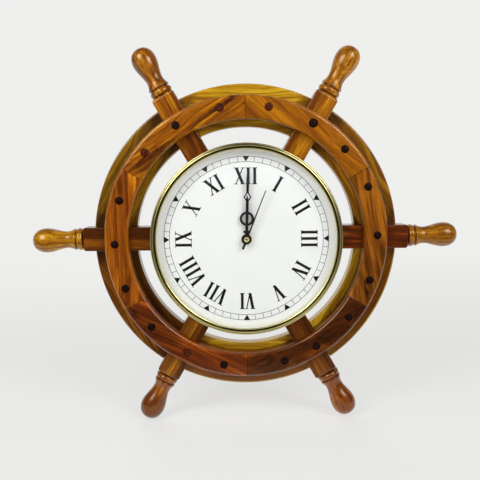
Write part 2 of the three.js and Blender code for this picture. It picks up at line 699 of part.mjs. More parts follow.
addPiece('rear_rim', rearRim(), goldenWood);
addPiece('hub', hub(), goldenWood);
const handleBody = handle();
const spokePeg = rod(PEG.radius, SPOKE_FRONT - PEG.grip, RING_FRONT - PEG.sink);
const rimPeg = rod(PEG.radius, REAR_RIM.depth - PEG.grip, RING_FRONT - PEG.sink);
for (let k = 0; k < SPOKE_COUNT; k++) {
  const turn = k * STEP;
  const pegs = pegAngles(k);
  addPiece(`front_felloe_${k + 1}`, frontFelloe(pegs), orangeWood, [0, 0], turn);
  addPiece(`spoke_${k + 1}`, spoke(pegs[1]), redWood, [0, 0], turn);
  addPiece(`handle_${k + 1}`, handleBody, goldenWood, [0, 0], turn);
  pegs.forEach((angle, i) => {
    const body = i === 1 ? spokePeg : rimPeg;
    const number = String(3 * k + i + 1).padStart(2, '0');
    addPiece(`peg_${number}`, body, pegWood, polar(PEG.circle, turn + angle));
  });
}
addPiece('hanger_strip', hanger(), brass, [0, HANGER.radius]);

addPiece('case_pan', casePan(), brass);
addPiece('bezel', bezel(), brass);
addPiece('glass', glass(), clearGlass);
addPiece('dial', dial(), enamel);
addHand('hour_hand', hourHand(), HOUR_HAND);
addHand('minute_hand', minuteHand(), MINUTE_HAND);
addHand('second_hand', secondHand(), SECOND_HAND);

addPiece('movement_case', movementCase(), blackPlastic);
addPiece('movement_cover', movementCover(), blackPlastic);
addPiece('fixing_nut', fixingNut(), brass);
addPiece('cell', cell(), cellJacket);
addPiece('stator', stator(), steel);
addPiece('coil_board', coilBoard(), circuitGreen);
addPiece('rotor', rotor(), steel, axes.rotor);
addPiece('fifth_wheel', fifthWheel(), whitePlastic, axes.fifth);
addPiece('second_wheel', secondWheel(), whitePlastic);
addPiece('third_wheel', thirdWheel(), whitePlastic, axes.third);
addPiece('centre_wheel', centreWheel(), whitePlastic);
addPiece('minute_wheel', minuteWheel(), whitePlastic, axes.minute);
addPiece('hour_wheel', hourWheel(), whitePlastic);
addPiece('setting_knob', settingKnob(), blackPlastic, axes.minute);

wheel.rotation.x = Math.PI / 2;
wheel.position.z = -HANGER.radius;

const clock = new THREE.Group();
clock.add(wheel);

export default clock;
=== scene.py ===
# %% [markdown]
# # Ship wheel wall clock
# A wooden ship's wheel hangs on a wall, and a round brass clock sits in front of its hub. The solids were
# made first. They say where everything is and how it moves, so each piece here is built around them and
# rides on one of their bodies. Before each step a few lines say what the piece is, how it could be made
# and why this way.

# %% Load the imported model
import json
import math

import bmesh
import bpy
from mathutils import Matrix, Vector
from mathutils.geometry import interpolate_bezier


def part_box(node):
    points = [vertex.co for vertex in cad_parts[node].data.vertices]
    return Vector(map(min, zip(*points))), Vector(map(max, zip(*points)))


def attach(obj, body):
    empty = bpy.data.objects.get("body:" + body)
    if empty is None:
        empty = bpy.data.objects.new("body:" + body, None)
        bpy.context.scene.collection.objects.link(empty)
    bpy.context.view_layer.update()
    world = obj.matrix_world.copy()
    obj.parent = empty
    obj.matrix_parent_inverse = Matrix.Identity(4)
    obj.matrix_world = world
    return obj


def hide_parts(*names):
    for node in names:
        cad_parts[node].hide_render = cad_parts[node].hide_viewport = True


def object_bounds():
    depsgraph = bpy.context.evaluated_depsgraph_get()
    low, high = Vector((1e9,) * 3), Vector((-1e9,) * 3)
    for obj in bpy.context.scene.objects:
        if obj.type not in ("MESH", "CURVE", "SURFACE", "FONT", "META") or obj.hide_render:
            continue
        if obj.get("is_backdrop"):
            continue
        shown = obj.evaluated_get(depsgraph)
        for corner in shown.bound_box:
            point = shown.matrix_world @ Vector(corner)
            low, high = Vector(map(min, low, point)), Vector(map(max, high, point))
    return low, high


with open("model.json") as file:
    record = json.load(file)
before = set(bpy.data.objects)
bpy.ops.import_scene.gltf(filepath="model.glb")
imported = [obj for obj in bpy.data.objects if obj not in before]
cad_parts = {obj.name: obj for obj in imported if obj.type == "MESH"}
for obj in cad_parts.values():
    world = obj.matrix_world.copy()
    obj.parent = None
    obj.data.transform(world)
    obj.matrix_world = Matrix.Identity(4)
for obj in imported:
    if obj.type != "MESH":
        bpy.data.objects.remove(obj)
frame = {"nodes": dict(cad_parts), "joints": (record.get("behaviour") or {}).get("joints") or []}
cad_low, cad_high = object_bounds()
print("solids:", len(frame["nodes"]), "from", cad_low[:], "to", cad_high[:])

# %% [markdown]
# The wheel is easiest to think of face on, in millimetres: x to the right, y up, and z out of the wall,
# with the hands' axis at the middle. Each object could be moved and turned into its place, but then its
# grain would slide when the object is put back at the origin. So one matrix takes each drawn mesh itself
# to the room, where the wall is at Y = 0 and the dial faces -Y, and every object stays at the origin.

# %% The wheel's drawing and the way from it to the room
MILLIMETRES = 1000
SPOKES = 6


def joint_point(name):
    """Where a joint of the solids stands in the room."""
    return next(joint["pos_m"] for joint in frame["joints"] if joint["name"] == name)


def spoke_angle(number):
    """Spoke 1 points right, and the others follow anticlockwise."""
    return (number - 1) * 2 * math.pi / SPOKES


def turned_by(angle):
    """A turn of the drawing about the hands' axis, anticlockwise."""
    return Matrix.Rotation(angle, 4, "Z")


axis_x, _, axis_z = joint_point("second_turn")
CENTRE = Vector((axis_x, 0, axis_z))
TO_ROOM = Matrix.Translation(CENTRE) @ Matrix.Rotation(math.pi / 2, 4, "X") @ Matrix.Scale(1 / MILLIMETRES, 4)
print("hands' axis at", CENTRE[:])

# %% [markdown]
# The camera stands a little above the middle of the dial and looks slightly down, as the photograph's
# did: the upper handles look longer than the lower ones, and the floor of each ring's opening shows. A
# camera can be aimed by eye, but a small error in its height already changes the gaps between the rings.
# So its lens, place and turn were fitted to the rings' edges and the handles' ends.

# %% Camera
PHOTO_SIDE = 480
FOCAL_PIXELS = 654.4
SENSOR = 36
CAMERA_PLACE = (-0.0152, -0.715, -0.0664)
CAMERA_DEGREES = (90 - 6.43, 0.5, -0.77)
scene = bpy.context.scene
camera_data = bpy.data.cameras.new("camera")
camera_data.sensor_width = SENSOR
camera_data.lens = SENSOR * FOCAL_PIXELS / PHOTO_SIDE
camera = bpy.data.objects.new("camera", camera_data)
scene.collection.objects.link(camera)
camera.location = CAMERA_PLACE
camera.rotation_euler = [math.radians(degrees) for degrees in CAMERA_DEGREES]
bpy.context.scene.camera = camera
print("lens", round(camera_data.lens, 2), "mm")

# %% [markdown]
# Paint, wood, brass and glass are all made of shader nodes here. Nodes can be placed and linked one by
# one, but the same few turn up in each finish. These small tools therefore make one node each, fill or
# link its sockets and hand back its output, so that a finish reads like a sum.

# %% Tools for nodes
def fill(node, inputs):
    """Writes plain values into a node's sockets."""
    for key, value in inputs.items():
        node.inputs[key].default_value = value


def add_node(tree, kind, inputs=None, **settings):
    """A new node with its settings and its unlinked inputs filled in."""
    node = tree.nodes.new(kind)
    for key, value in settings.items():
        setattr(node, key, value)
    fill(node, inputs or {})
    return node


def blank_finish(name):
    """A new material, its node tree and its shader."""
    material = bpy.data.materials.new(name)
    material.use_nodes = True
    return material, material.node_tree, material.node_tree.nodes["Principled BSDF"]


def wire(tree, value, socket):
    """Links an output to the socket, or writes a plain value into it."""
    if isinstance(value, bpy.types.NodeSocket):
        tree.links.new(value, socket)
    else:
        socket.default_value = value


def math_node(tree, operation, *values, clamp=False):
    """One sum on up to three values, each an output or a number."""
    node = add_node(tree, "ShaderNodeMath", operation=operation, use_clamp=clamp)
    for value, socket in zip(values, node.inputs):
        wire(tree, value, socket)
    return node.outputs[0]


def spread(tree, value, low, high, to_low=0.0, to_high=1.0, smooth=False, clamp=True):
    """Stretches the range from low to high over another one; low may be the larger."""
    node = add_node(tree, "ShaderNodeMapRange",
                    {"From Min": low, "From Max": high, "To Min": to_low, "To Max": to_high},
                    interpolation_type="SMOOTHSTEP" if smooth else "LINEAR", clamp=clamp)
    tree.links.new(value, node.inputs["Value"])
    return node.outputs["Result"]


def axes(tree, coords):
    """A place's three coordinates, each on its own."""
    split = add_node(tree, "ShaderNodeSeparateXYZ")
    tree.links.new(coords, split.inputs[0])
    return split.outputs


def object_coords(tree):
    return add_node(tree, "ShaderNodeTexCoord").outputs["Object"]


def mix_shader(tree, share, first, second):
    """A blend of two shaders' light."""
    blend = add_node(tree, "ShaderNodeMixShader")
    for output, socket in zip((share, first, second), blend.inputs):
        tree.links.new(output, socket)
    return blend.outputs[0]


print("tools for nodes are ready")

# %% [markdown]
# The stage is a plain pale floor just under the lower handles, a disc so that no corner shows from the
# side. It could be made pale by more light, but that would bleach the wood too. Instead the floor and the
# world ask the Light Path node which ray meets them. The camera's rays, rays through the glass and
# reflections of what is behind the wheel see them pale. Other reflections see them dim, so that lacquer,
# brass and glass don't wear a veil of reflected light. Far from the wheel the floor glows in the world's
# colour, so that no horizon shows.

# %% Floor
PALE = (0.86, 0.86, 0.85, 1)
DUSK = (0.86, 0.74, 0.4, 1)
FLOOR_PAINT = (0.88, 0.88, 0.87, 1)
FLOOR_RADIUS = 9
FLOOR_GAP = 0.0005
FLOOR_FADE = (0.3, 1.6)
FLOOR_DIM_TO_PALE = (-0.26, -0.1)


def as_object(bm, name):
    """Makes a drawn shape an object of the scene."""
    mesh = bpy.data.meshes.new(name)
    bm.to_mesh(mesh)
    bm.free()
    obj = bpy.data.objects.new(name, mesh)
    scene.collection.objects.link(obj)
    return obj


def stage_rays(tree, where, dim_y, pale_y):
    """Two shares of a ray: that it sees the stage, and that it reflects the dim part of the room."""
    ray = add_node(tree, "ShaderNodeLightPath").outputs
    behind = spread(tree, axes(tree, where)["Y"], dim_y, pale_y, smooth=True)
    mirrored = math_node(tree, "MULTIPLY", ray["Is Glossy Ray"], behind)
    dim = math_node(tree, "SUBTRACT", ray["Is Glossy Ray"], mirrored)
    direct = math_node(tree, "ADD", ray["Is Camera Ray"], ray["Is Transmission Ray"])
    return math_node(tree, "ADD", direct, mirrored, clamp=True), dim


bm = bmesh.new()
bmesh.ops.create_circle(bm, cap_ends=True, segments=96, radius=FLOOR_RADIUS)
bmesh.ops.translate(bm, verts=bm.verts, vec=(0, 0, cad_low.z - FLOOR_GAP))
floor = as_object(bm, "floor")
floor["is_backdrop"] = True
floor_paint, tree, shader = blank_finish("floor_paint")
fill(shader, {"Base Color": FLOOR_PAINT, "Roughness": 0.8})
spot = object_coords(tree)
distance = add_node(tree, "ShaderNodeVectorMath", operation="LENGTH")
tree.links.new(spot, distance.inputs[0])
fade = spread(tree, distance.outputs["Value"], *FLOOR_FADE, to_low=0.7, smooth=True)
seen, dim = stage_rays(tree, spot, *FLOOR_DIM_TO_PALE)
glow = add_node(tree, "ShaderNodeEmission", {"Color": PALE, "Strength": 1})
dusk = add_node(tree, "ShaderNodeEmission", {"Color": DUSK, "Strength": 0.08})
lit = mix_shader(tree, math_node(tree, "MULTIPLY", fade, seen), shader.outputs[0], glow.outputs[0])
tree.links.new(mix_shader(tree, dim, lit, dusk.outputs[0]), tree.nodes["Material Output"].inputs["Surface"])
floor.data.materials.append(floor_paint)
print("floor at", round(cad_low.z - FLOOR_GAP, 4))

# %% [markdown]
# The world is the pale wall of light round the stage. A photographer would hang paper there; here it is
# one colour whose strength depends on the ray, by the same rule as the floor's. As a light it is weak,
# because the lamps do the modelling.

# %% World
WORLD_STRENGTH = {"seen": 1.0, "lights": 0.2, "dim_reflection": 0.07}
WORLD_DIM_TO_PALE = (0.2, 0.9)
world = bpy.data.worlds.new("studio")
scene.world = world
world.use_nodes = True
tree = world.node_tree
background = tree.nodes["Background"]
towards = add_node(tree, "ShaderNodeTexCoord").outputs["Generated"]
seen, dim = stage_rays(tree, towards, *WORLD_DIM_TO_PALE)
level = math_node(tree, "MULTIPLY_ADD", seen, WORLD_STRENGTH["seen"] - WORLD_STRENGTH["lights"],
                  WORLD_STRENGTH["lights"])
drop = WORLD_STRENGTH["dim_reflection"] - WORLD_STRENGTH["lights"]
tree.links.new(math_node(tree, "MULTIPLY_ADD", dim, drop, level), background.inputs["Strength"])
fill(background, {"Color": PALE})
scene.view_settings.view_transform = "Standard"
print("world strength", WORLD_STRENGTH)

# %% [markdown]
# Two soft boxes hang to the upper left and upper right of the camera: the photograph's bezel is brightest
# at half past ten and half past one, and each upper handle has one broad streak and one spot. Sun or
# point lamps would draw hard sparks there, so these are area lamps. A third box behind the wheel shows
# its back. Reflections don't see that one, or it would draw white lines round the upper edges.

# %% Lamps
LAMPS = {
    "left_box": {"place": (-0.82, -0.95, 0.6), "side": 0.65, "power": 11.5},
    "right_box": {"place": (0.82, -0.98, 0.57), "side": 0.65, "power": 10.6},
    "back_box": {"place": (-0.3, 1.3, 0.5), "side": 0.9, "power": 8.0},
}
for name, lamp in LAMPS.items():
    data = bpy.data.lights.new(name, "AREA")
    data.shape = "RECTANGLE"
    data.size = lamp["side"]
    data.size_y = lamp["side"]
    data.energy = lamp["power"]
    soft_box = bpy.data.objects.new(name, data)
    scene.collection.objects.link(soft_box)
    soft_box.location = lamp["place"]
    soft_box.rotation_euler = (CENTRE - Vector(lamp["place"])).to_track_quat("-Z", "Y").to_euler()
    soft_box.visible_glossy = name != "back_box"
print(len(LAMPS), "soft boxes aimed at the dial")

# %% [markdown]
# Round pieces are turned on a lathe. One could be modelled from a cylinder, loop by loop, but half of its
# section already says everything about it. So the section or the outline is drawn once and spun round its
# axis. Where the spin meets itself and at the poles, doubled points are merged. Small bevels on a
# section's corners give each edge the highlight that sharp CAD edges lack.

# %% The lathe
SAME_PLACE = 0.01
SEAM = 1e-4
LATHE_AXES = {"X": (Vector((1, 0, 0)), Vector((0, 1, 0))), "Z": (Vector((0, 0, 1)), Vector((1, 0, 0)))}


def soften(bm, parts, width, steps, affect="EDGES"):
    """Bevels edges, or the corners of a flat section."""
    bmesh.ops.bevel(bm, geom=parts, offset=width, offset_type="OFFSET", segments=steps, profile=0.5,
                    affect=affect, material=-1)


def section(points):
    """A flat face in the plane of x (radius) and z (height)."""
    bm = bmesh.new()
    bm.faces.new([bm.verts.new((radius, 0, height)) for radius, height in points])
    return bm


def ease_corners(bm, corners, radius, steps):
    """Rounds the section's corners that lie at the given points."""
    picked = [v for v in bm.verts if any((v.co.xz - Vector(c)).length < SAME_PLACE for c in corners)]
    soften(bm, picked, radius, steps, "VERTICES")


def full_spin(bm, axis, steps):
    """Turns the drawn lines once round the axis and closes the seam."""
    bmesh.ops.spin(bm, geom=bm.verts[:] + bm.edges[:], cent=(0, 0, 0), axis=axis, angle=2 * math.pi,
                   steps=steps, use_merge=True)
    bmesh.ops.remove_doubles(bm, verts=bm.verts, dist=SEAM)
    bmesh.ops.recalc_face_normals(bm, faces=bm.faces)


def spin_ring(bm, steps):
    """Turns a section round the z axis, without the flat face that it came from."""
    bmesh.ops.delete(bm, geom=bm.faces[:], context="FACES_ONLY")
    full_spin(bm, LATHE_AXES["Z"][0], steps)


def turned_piece(profile, axis, steps):
    """Spins an open line of (along, radius) points, from axis to axis, into a closed solid."""
    along, across = LATHE_AXES[axis]
    bm = bmesh.new()
    line = [bm.verts.new(along * a + across * r) for a, r in profile]
    for start, end in zip(line, line[1:]):
        bm.edges.new((start, end))
    full_spin(bm, along, steps)
    return bm


print("the lathe turns about", " or ".join(LATHE_AXES))

# %% [markdown]
# The rest is sawn and drilled. Holes and notches could be left out of a mesh by building round them,
# which takes many loops for each. A Boolean modifier does it as a saw or a drill does: cutters are shapes
# of their own, and their volume is taken away.

# %% Saw and drill
def shifted(bm, by):
    bmesh.ops.translate(bm, verts=bm.verts, vec=by)
    return bm


def turned(bm, angle):
    bmesh.ops.transform(bm, matrix=turned_by(angle), verts=bm.verts)
    return bm


def board(x, y, z, ease=0.0, steps=3):
    """A block between the given ends, with its edges eased."""
    bm = bmesh.new()
    bmesh.ops.create_cube(bm, size=1)
    bmesh.ops.scale(bm, verts=bm.verts, vec=[high - low for low, high in (x, y, z)])
    shifted(bm, [(low + high) / 2 for low, high in (x, y, z)])
    if ease:
        soften(bm, bm.edges[:], ease, steps)
    return bm


def joined(shapes):
    """Several shapes in one mesh."""
    whole = bmesh.new()
    for shape in shapes:
        mesh = bpy.data.meshes.new("shape")
        shape.to_mesh(mesh)
        shape.free()
        whole.from_mesh(mesh)
        bpy.data.meshes.remove(mesh)
    return whole


def carved(bm, cutters):
    """The shape with the cutters' volumes taken out of it."""
    work = as_object(bm, "work")
    tool = as_object(joined(cutters), "tool")
    cut = work.modifiers.new("cut", "BOOLEAN")
    cut.object = tool
    cut.operation = "DIFFERENCE"
    cut.solver = "EXACT"
    done = bpy.data.meshes.new_from_object(work.evaluated_get(bpy.context.evaluated_depsgraph_get()))
    result = bmesh.new()
    result.from_mesh(done)
    for used in (work, tool):
        mesh = used.data
        bpy.data.objects.remove(used)
        bpy.data.meshes.remove(mesh)
    bpy.data.meshes.remove(done)
    return result


print("saw and drill are ready")

# %% [markdown]
# A drawn shape becomes a piece when it is taken to the room, gets its finish and rides on a body of the
# solids. Smooth shading alone would bend the light across large flat faces next to a rounded edge. A
# Weighted Normal modifier lets the large faces decide, which is quicker than more loops.

# %% Setting a piece in its place
def set_piece(bm, name, finish, body="wheel", stands_for=(), angle=0.0, sharp=35, flat_faces=True):
    """
    Turns the drawn shape to its place, makes it an object in the room and lets it ride on a body.
    Edges beyond the sharp angle, in degrees, stay crisp.
    """
    bmesh.ops.transform(bm, matrix=TO_ROOM @ turned_by(angle), verts=bm.verts)
    obj = as_object(bm, name)
    obj.data.materials.append(finish)
    obj.data.shade_smooth()
    obj.data.set_sharp_from_angle(angle=math.radians(sharp))
    if flat_faces:
        level = obj.modifiers.new("flat_faces", "WEIGHTED_NORMAL")
        level.keep_sharp = True
    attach(obj, body)
    if stands_for:
        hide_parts(*stands_for)
    return obj


# %% [markdown]
# The wood is an oily tropical one under a glossy lacquer: golden to orange brown with dark maroon
# streaks, and no two boards alike. A picture of wood could be wrapped round each piece, but it would
# repeat itself and smear at the ends. Nodes draw the grain through the solid instead, as real wood has
# it. First come the tools: a Mapping node centres the pattern on the wheel and turns it until X lies
# along the grain, and another draws noise out.

# %% Tools for finishes
def colour(red, green, blue):
    """A screen colour, from 0 to 255, as the linear light that nodes use."""
    shares = [value / 255 for value in (red, green, blue)]
    return tuple(((s + 0.055) / 1.055) ** 2.4 if s > 0.04045 else s / 12.92 for s in shares) + (1,)


def deeper(tint, share):
    """A linear colour with only a share of its light."""
    return tuple(share * value for value in tint[:3]) + (1,)


def mix_colour(tree, share, first, second):
    node = add_node(tree, "ShaderNodeMix", data_type="RGBA")
    wire(tree, share, node.inputs["Factor"])
    wire(tree, first, node.inputs[6])
    wire(tree, second, node.inputs[7])
    return node.outputs[2]


def noise(tree, coords, stretch, shift, detail=3.0, distortion=0.0):
    """Noise with its own scale along each axis; shift picks another part of the pattern."""
    place = (shift, 1.7 * shift, 0.6 * shift)
    scaled = add_node(tree, "ShaderNodeMapping", {"Scale": stretch, "Location": place})
    pattern = add_node(tree, "ShaderNodeTexNoise", {"Scale": 1, "Detail": detail, "Distortion": distortion})
    tree.links.new(coords, scaled.inputs["Vector"])
    tree.links.new(scaled.outputs[0], pattern.inputs["Vector"])
    return pattern.outputs["Fac"]


def near(tree, value, centre, half, soft):
    """1 where the value lies within half of the centre, fading to 0 over the soft margin, in millimetres."""
    gap = math_node(tree, "ABSOLUTE", math_node(tree, "SUBTRACT", value, centre / MILLIMETRES))
    return spread(tree, gap, (half + soft) / MILLIMETRES, half / MILLIMETRES, smooth=True)


def add_bump(tree, shader, height, strength, distance):
    """Lets a pattern stand up by a distance in metres, at most."""
    bump = add_node(tree, "ShaderNodeBump", {"Strength": strength, "Distance": distance})
    tree.links.new(height, bump.inputs["Height"])
    tree.links.new(bump.outputs[0], shader.inputs["Normal"])


def board_coords(tree, angle):
    """Places from the wheel's middle: X at an angle to the wheel's x axis, Y into the wall and Z across."""
    turn = add_node(tree, "ShaderNodeMapping", {"Location": CENTRE, "Rotation": (0, -angle, 0)},
                    vector_type="TEXTURE")
    tree.links.new(object_coords(tree), turn.inputs["Vector"])
    return turn.outputs[0]


def radius_from(tree, coords):
    """The distance from the wheel's axis."""
    x, _, z = axes(tree, coords)
    squares = math_node(tree, "ADD", math_node(tree, "MULTIPLY", x, x), math_node(tree, "MULTIPLY", z, z))
    return math_node(tree, "POWER", squares, 0.5)


print("mid grey on the screen is", round(colour(128, 128, 128)[0], 3), "in linear light")

# %% [markdown]
# Wood grain is long along the board and short across it, so all of it can come from noise that is drawn
# out along X. From coarse to fine there are the figure, the stripes, the fibres and the pores. The
# straight grain is first made to sway, most of all in burl. Figure, stripes and fibres add up to one
# tone, and a colour ramp turns that into pale, middle and dark wood. A Wave texture could make stripes
# too, but even ones.

# %% Grain of a board
SWAY_REACH = 8
SWAY_PER_METRE = 13
SWAY_PER_BURL = 1.5
# Scale along the grain and in both directions across it, step of the seed, detail and distortion
GRAIN = {
    "figure": ((7, 45, 45), 0, 4, 0.4),
    "stripes": ((6, 260, 260), 3, 2, 0.0),
    "fibres": ((25, 900, 900), 5, 3, 0.0),
    "pores": ((60, 2200, 2200), 7, 1, 0.0),
    "streaks": ((5, 75, 75), 9, 3, 0.6),
    "lines": ((4, 330, 330), 13, 2, 0.0),
    "breaks": ((110, 330, 330), 17, 4, 0.0),
}
TONE_SHARES = {"figure": 0.45, "stripes": 0.4, "fibres": 0.3}
TONE_STOPS = {"pale": 0.34, "middle": 0.55, "dark": 0.82}
DARK_STOP_MIX = (0.35, 0.65)


def grain_noise(tree, grain, kind, seed):
    stretch, step, detail, distortion = GRAIN[kind]
    return noise(tree, grain, stretch, seed + step, detail, distortion)


def swaying_grain(tree, straight, burl):
    """Lets the grain wander sideways, and the more so the burlier the wood is."""
    reach = (SWAY_REACH + burl) / MILLIMETRES
    bends = SWAY_PER_METRE + SWAY_PER_BURL * burl
    wander = add_node(tree, "ShaderNodeTexNoise", {"Scale": bends, "Detail": 2})
    centred = add_node(tree, "ShaderNodeVectorMath", {1: (0.5, 0.5, 0.5)}, operation="SUBTRACT")
    sway = add_node(tree, "ShaderNodeVectorMath", {1: (0, reach, reach)}, operation="MULTIPLY_ADD")
    for start, end in ((straight, wander.inputs["Vector"]), (wander.outputs["Color"], centred.inputs[0]),
                       (centred.outputs[0], sway.inputs[0]), (straight, sway.inputs[2])):
        tree.links.new(start, end)
    return sway.outputs[0]


def wood_tint(tree, figure, stripes, fibres, woods):
    """The colour that figure, stripes and fibres pick from pale, middle and dark wood."""
    pale, middle, dark = woods
    coarse = math_node(tree, "MULTIPLY", figure, TONE_SHARES["figure"])
    tone = math_node(tree, "MULTIPLY_ADD", stripes, TONE_SHARES["stripes"], coarse)
    tone = math_node(tree, "ADD", tone, math_node(tree, "MULTIPLY", fibres, TONE_SHARES["fibres"]))
    ramp = add_node(tree, "ShaderNodeValToRGB")
    first, last = ramp.color_ramp.elements
    first.position, first.color = TONE_STOPS["pale"], pale
    last.position = TONE_STOPS["dark"]
    last.color = [DARK_STOP_MIX[0] * m + DARK_STOP_MIX[1] * d for m, d in zip(middle, dark)]
    ramp.color_ramp.elements.new(TONE_STOPS["middle"]).color = middle
    tree.links.new(tone, ramp.inputs["Fac"])
    return ramp.outputs["Color"]


print("grain has", len(GRAIN), "patterns")

# %% [markdown]
# What makes each board its own are its dark places. Streaks and thin lines are the parts of two more
# drawn-out noises that lie above a threshold. Heartwood is a ramp across the board, stain is soaked up at
# the board's ends, and a knot is an oval spot, even or broken up by noise. On the rear rim the same ramp
# and the same ends also paint shade: the front ring's shade on the lower boards and the spokes' shade
# beside them. Each of them is a mask: a share from 0 to 1 of dark wood.

# %% Dark places in the wood
STREAK_SHARE = 0.85
STAIN_AND_SHADE_SHARE = 0.75
STAIN_AND_SHADE_RAGGED = 16
STAIN_AND_SHADE_FADE = 12


def streak_mask(tree, grain, seed, streaks):
    """Broad streaks and thin lines; the more streaks, the lower the threshold."""
    slow = grain_noise(tree, grain, "streaks", seed)
    broad = spread(tree, slow, 0.68 - 0.16 * streaks, 0.74 - 0.12 * streaks, smooth=True)
    thin = spread(tree, grain_noise(tree, grain, "lines", seed), 0.55, 0.64, smooth=True)
    return math_node(tree, "MAXIMUM", math_node(tree, "MULTIPLY", broad, STREAK_SHARE),
                     math_node(tree, "MULTIPLY", thin, 0.3 + 0.7 * streaks))


def heart_and_shade_mask(tree, across, heart_and_shade, span):
    """Heartwood and painted shade as a row of (place across the span, share)."""
    ramp = add_node(tree, "ShaderNodeValToRGB")
    stops = ramp.color_ramp.elements
    for place, _ in heart_and_shade[2:]:
        stops.new(place)
    for stop, (place, share) in zip(stops, heart_and_shade):
        stop.position, stop.color = place, (share, share, share, 1)
    tree.links.new(spread(tree, across, *(edge / MILLIMETRES for edge in span)), ramp.inputs["Fac"])
    return ramp.outputs["Color"]


def end_mask(tree, along, figure, start):
    """Stain, and on the rim painted shade beside the spokes, that begins with a ragged edge at a distance
    along the board on either side.
    """
    ragged = math_node(tree, "MULTIPLY_ADD", figure, STAIN_AND_SHADE_RAGGED / MILLIMETRES,
                       math_node(tree, "ABSOLUTE", along))
    return spread(tree, ragged, start / MILLIMETRES, (start + STAIN_AND_SHADE_FADE) / MILLIMETRES, to_high=STAIN_AND_SHADE_SHARE,
                  smooth=True)


def knot_mask(tree, along, across, angle, knot, broken):
    """An oval spot on the wheel, its x and y turned into the board's own directions."""
    x, y, half_length, half_width, stain = knot
    run = x * math.cos(angle) + y * math.sin(angle)
    side = y * math.cos(angle) - x * math.sin(angle)
    squares = []
    for value, middle, half in ((along, run, half_length), (across, side, half_width)):
        offset = spread(tree, value, middle / MILLIMETRES, (middle + half) / MILLIMETRES, clamp=False)
        squares.append(math_node(tree, "POWER", offset, 2))
    inside = spread(tree, math_node(tree, "ADD", *squares), 1.3, 0.5, smooth=True)
    return math_node(tree, "MULTIPLY", inside, stain or broken)


print("stain reaches", STAIN_AND_SHADE_FADE, "mm before it is full")

# %% [markdown]
# The recipe puts the layers together: bare wood, its dark places, painted shade in the turned grooves,
# open pores, rubbed edges with a painted highlight, and then the lacquer. The lacquer is the shader's
# coat. The gloss under it is tinted golden, because the photograph's highlights on the wood are warm and
# not white.

# %% The recipe for lacquered wood
# Rubbed edges are paler wood, partly wear and partly a painted highlight.
WEAR_AND_SHEEN_HALF = 0.6
WEAR_AND_SHEEN_FADE = 1.2
WEAR_AND_SHEEN_SHARE = 0.45
PORE_SHARE = 0.55
# Painted shade in the turned grooves.
GROOVE_SHADE = (96, 46, 12)
LACQUER = {"Specular IOR Level": 0.5, "Specular Tint": colour(255, 214, 140), "Coat Weight": 0.6,
           "Coat Roughness": 0.18}


def lacquered_wood(name, angle, woods, seed, streaks=0.5, burl=0, heart_and_shade=(), heart_and_shade_span=(-12.5, 12.5),
                   knots=(), stain_and_shade_ends=None, grooves=(), wear_and_sheen=()):
    """
    Wood with its grain at an angle to the wheel's x axis; lengths are in millimetres. woods are its pale,
    middle and dark screen colours, and heart_and_shade is a row of (place across its span, share of dark
    wood), for heartwood and for painted shade. A knot is (x, y, half length, half width) on the wheel and the
    share of an even stain, or 0 for a broken one. stain_and_shade_ends is where stain, with painted shade
    beside the spokes, starts along the board, grooves are (place along, half width) of painted shade, and
    wear_and_sheen are the radii of rubbed edges, lighter as wear and as a painted highlight.
    """
    material, tree, shader = blank_finish(name)
    pale, middle, dark = (colour(*wood) for wood in woods)
    straight = board_coords(tree, angle)
    grain = swaying_grain(tree, straight, burl)
    along, _, across = axes(tree, grain)
    figure, stripes, fibres = (spread(tree, grain_noise(tree, grain, kind, seed), 0.3, 0.7)
                               for kind in ("figure", "stripes", "fibres"))
    pores = spread(tree, grain_noise(tree, grain, "pores", seed), 0.6, 0.72, smooth=True)

    shade = streak_mask(tree, grain, seed, streaks)
    # Heartwood, and on the rim painted shade; then stain with painted shade at the board's ends.
    if heart_and_shade:
        shade = math_node(tree, "MAXIMUM", shade, heart_and_shade_mask(tree, across, heart_and_shade, heart_and_shade_span))
    if stain_and_shade_ends:
        shade = math_node(tree, "MAXIMUM", shade, end_mask(tree, along, figure, stain_and_shade_ends))
    tint = mix_colour(tree, shade, wood_tint(tree, figure, stripes, fibres, (pale, middle, dark)), dark)
    broken = spread(tree, grain_noise(tree, grain, "breaks", seed), 0.32, 0.6)
    for knot in knots:
        tint = mix_colour(tree, knot_mask(tree, along, across, angle, knot, broken), tint, deeper(dark, 0.7))
    # Painted shade in the turned grooves.
    for place, half in grooves:
        tint = mix_colour(tree, near(tree, along, place, half, half), tint, colour(*GROOVE_SHADE))
    tint = mix_colour(tree, math_node(tree, "MULTIPLY", pores, PORE_SHARE), tint, deeper(dark, 0.4))
    # Rubbed edges: paler wood as wear and as a painted highlight.
    for edge in wear_and_sheen:
        rubbed_and_lit = near(tree, radius_from(tree, straight), edge, WEAR_AND_SHEEN_HALF, WEAR_AND_SHEEN_FADE)
        patchy = math_node(tree, "MULTIPLY", rubbed_and_lit, math_node(tree, "MULTIPLY", figure, WEAR_AND_SHEEN_SHARE))
        tint = mix_colour(tree, patchy, tint, pale)

    tree.links.new(tint, shader.inputs["Base Color"])
    tree.links.new(spread(tree, fibres, 0, 1, 0.26, 0.34), shader.inputs["Roughness"])
    add_bump(tree, shader, math_node(tree, "SUBTRACT", fibres, pores), 0.1, 0.0003)
    fill(shader, LACQUER)
    return material


print("lacquer has a coat of", LACQUER["Coat Weight"])

# %% [markdown]
# The rear rim is the wide flat ring against the wall. A joiner glues it up from six boards that meet
# under the spokes, turns it, saws the notches for the spokes and drills the pegs' sockets. The shape
# follows that: a rectangle with eased corners is spun, then the notches, the sockets and the hanger's
# recess are cut out. These are the sizes that the rim shares with the ring, the spokes and the pegs.

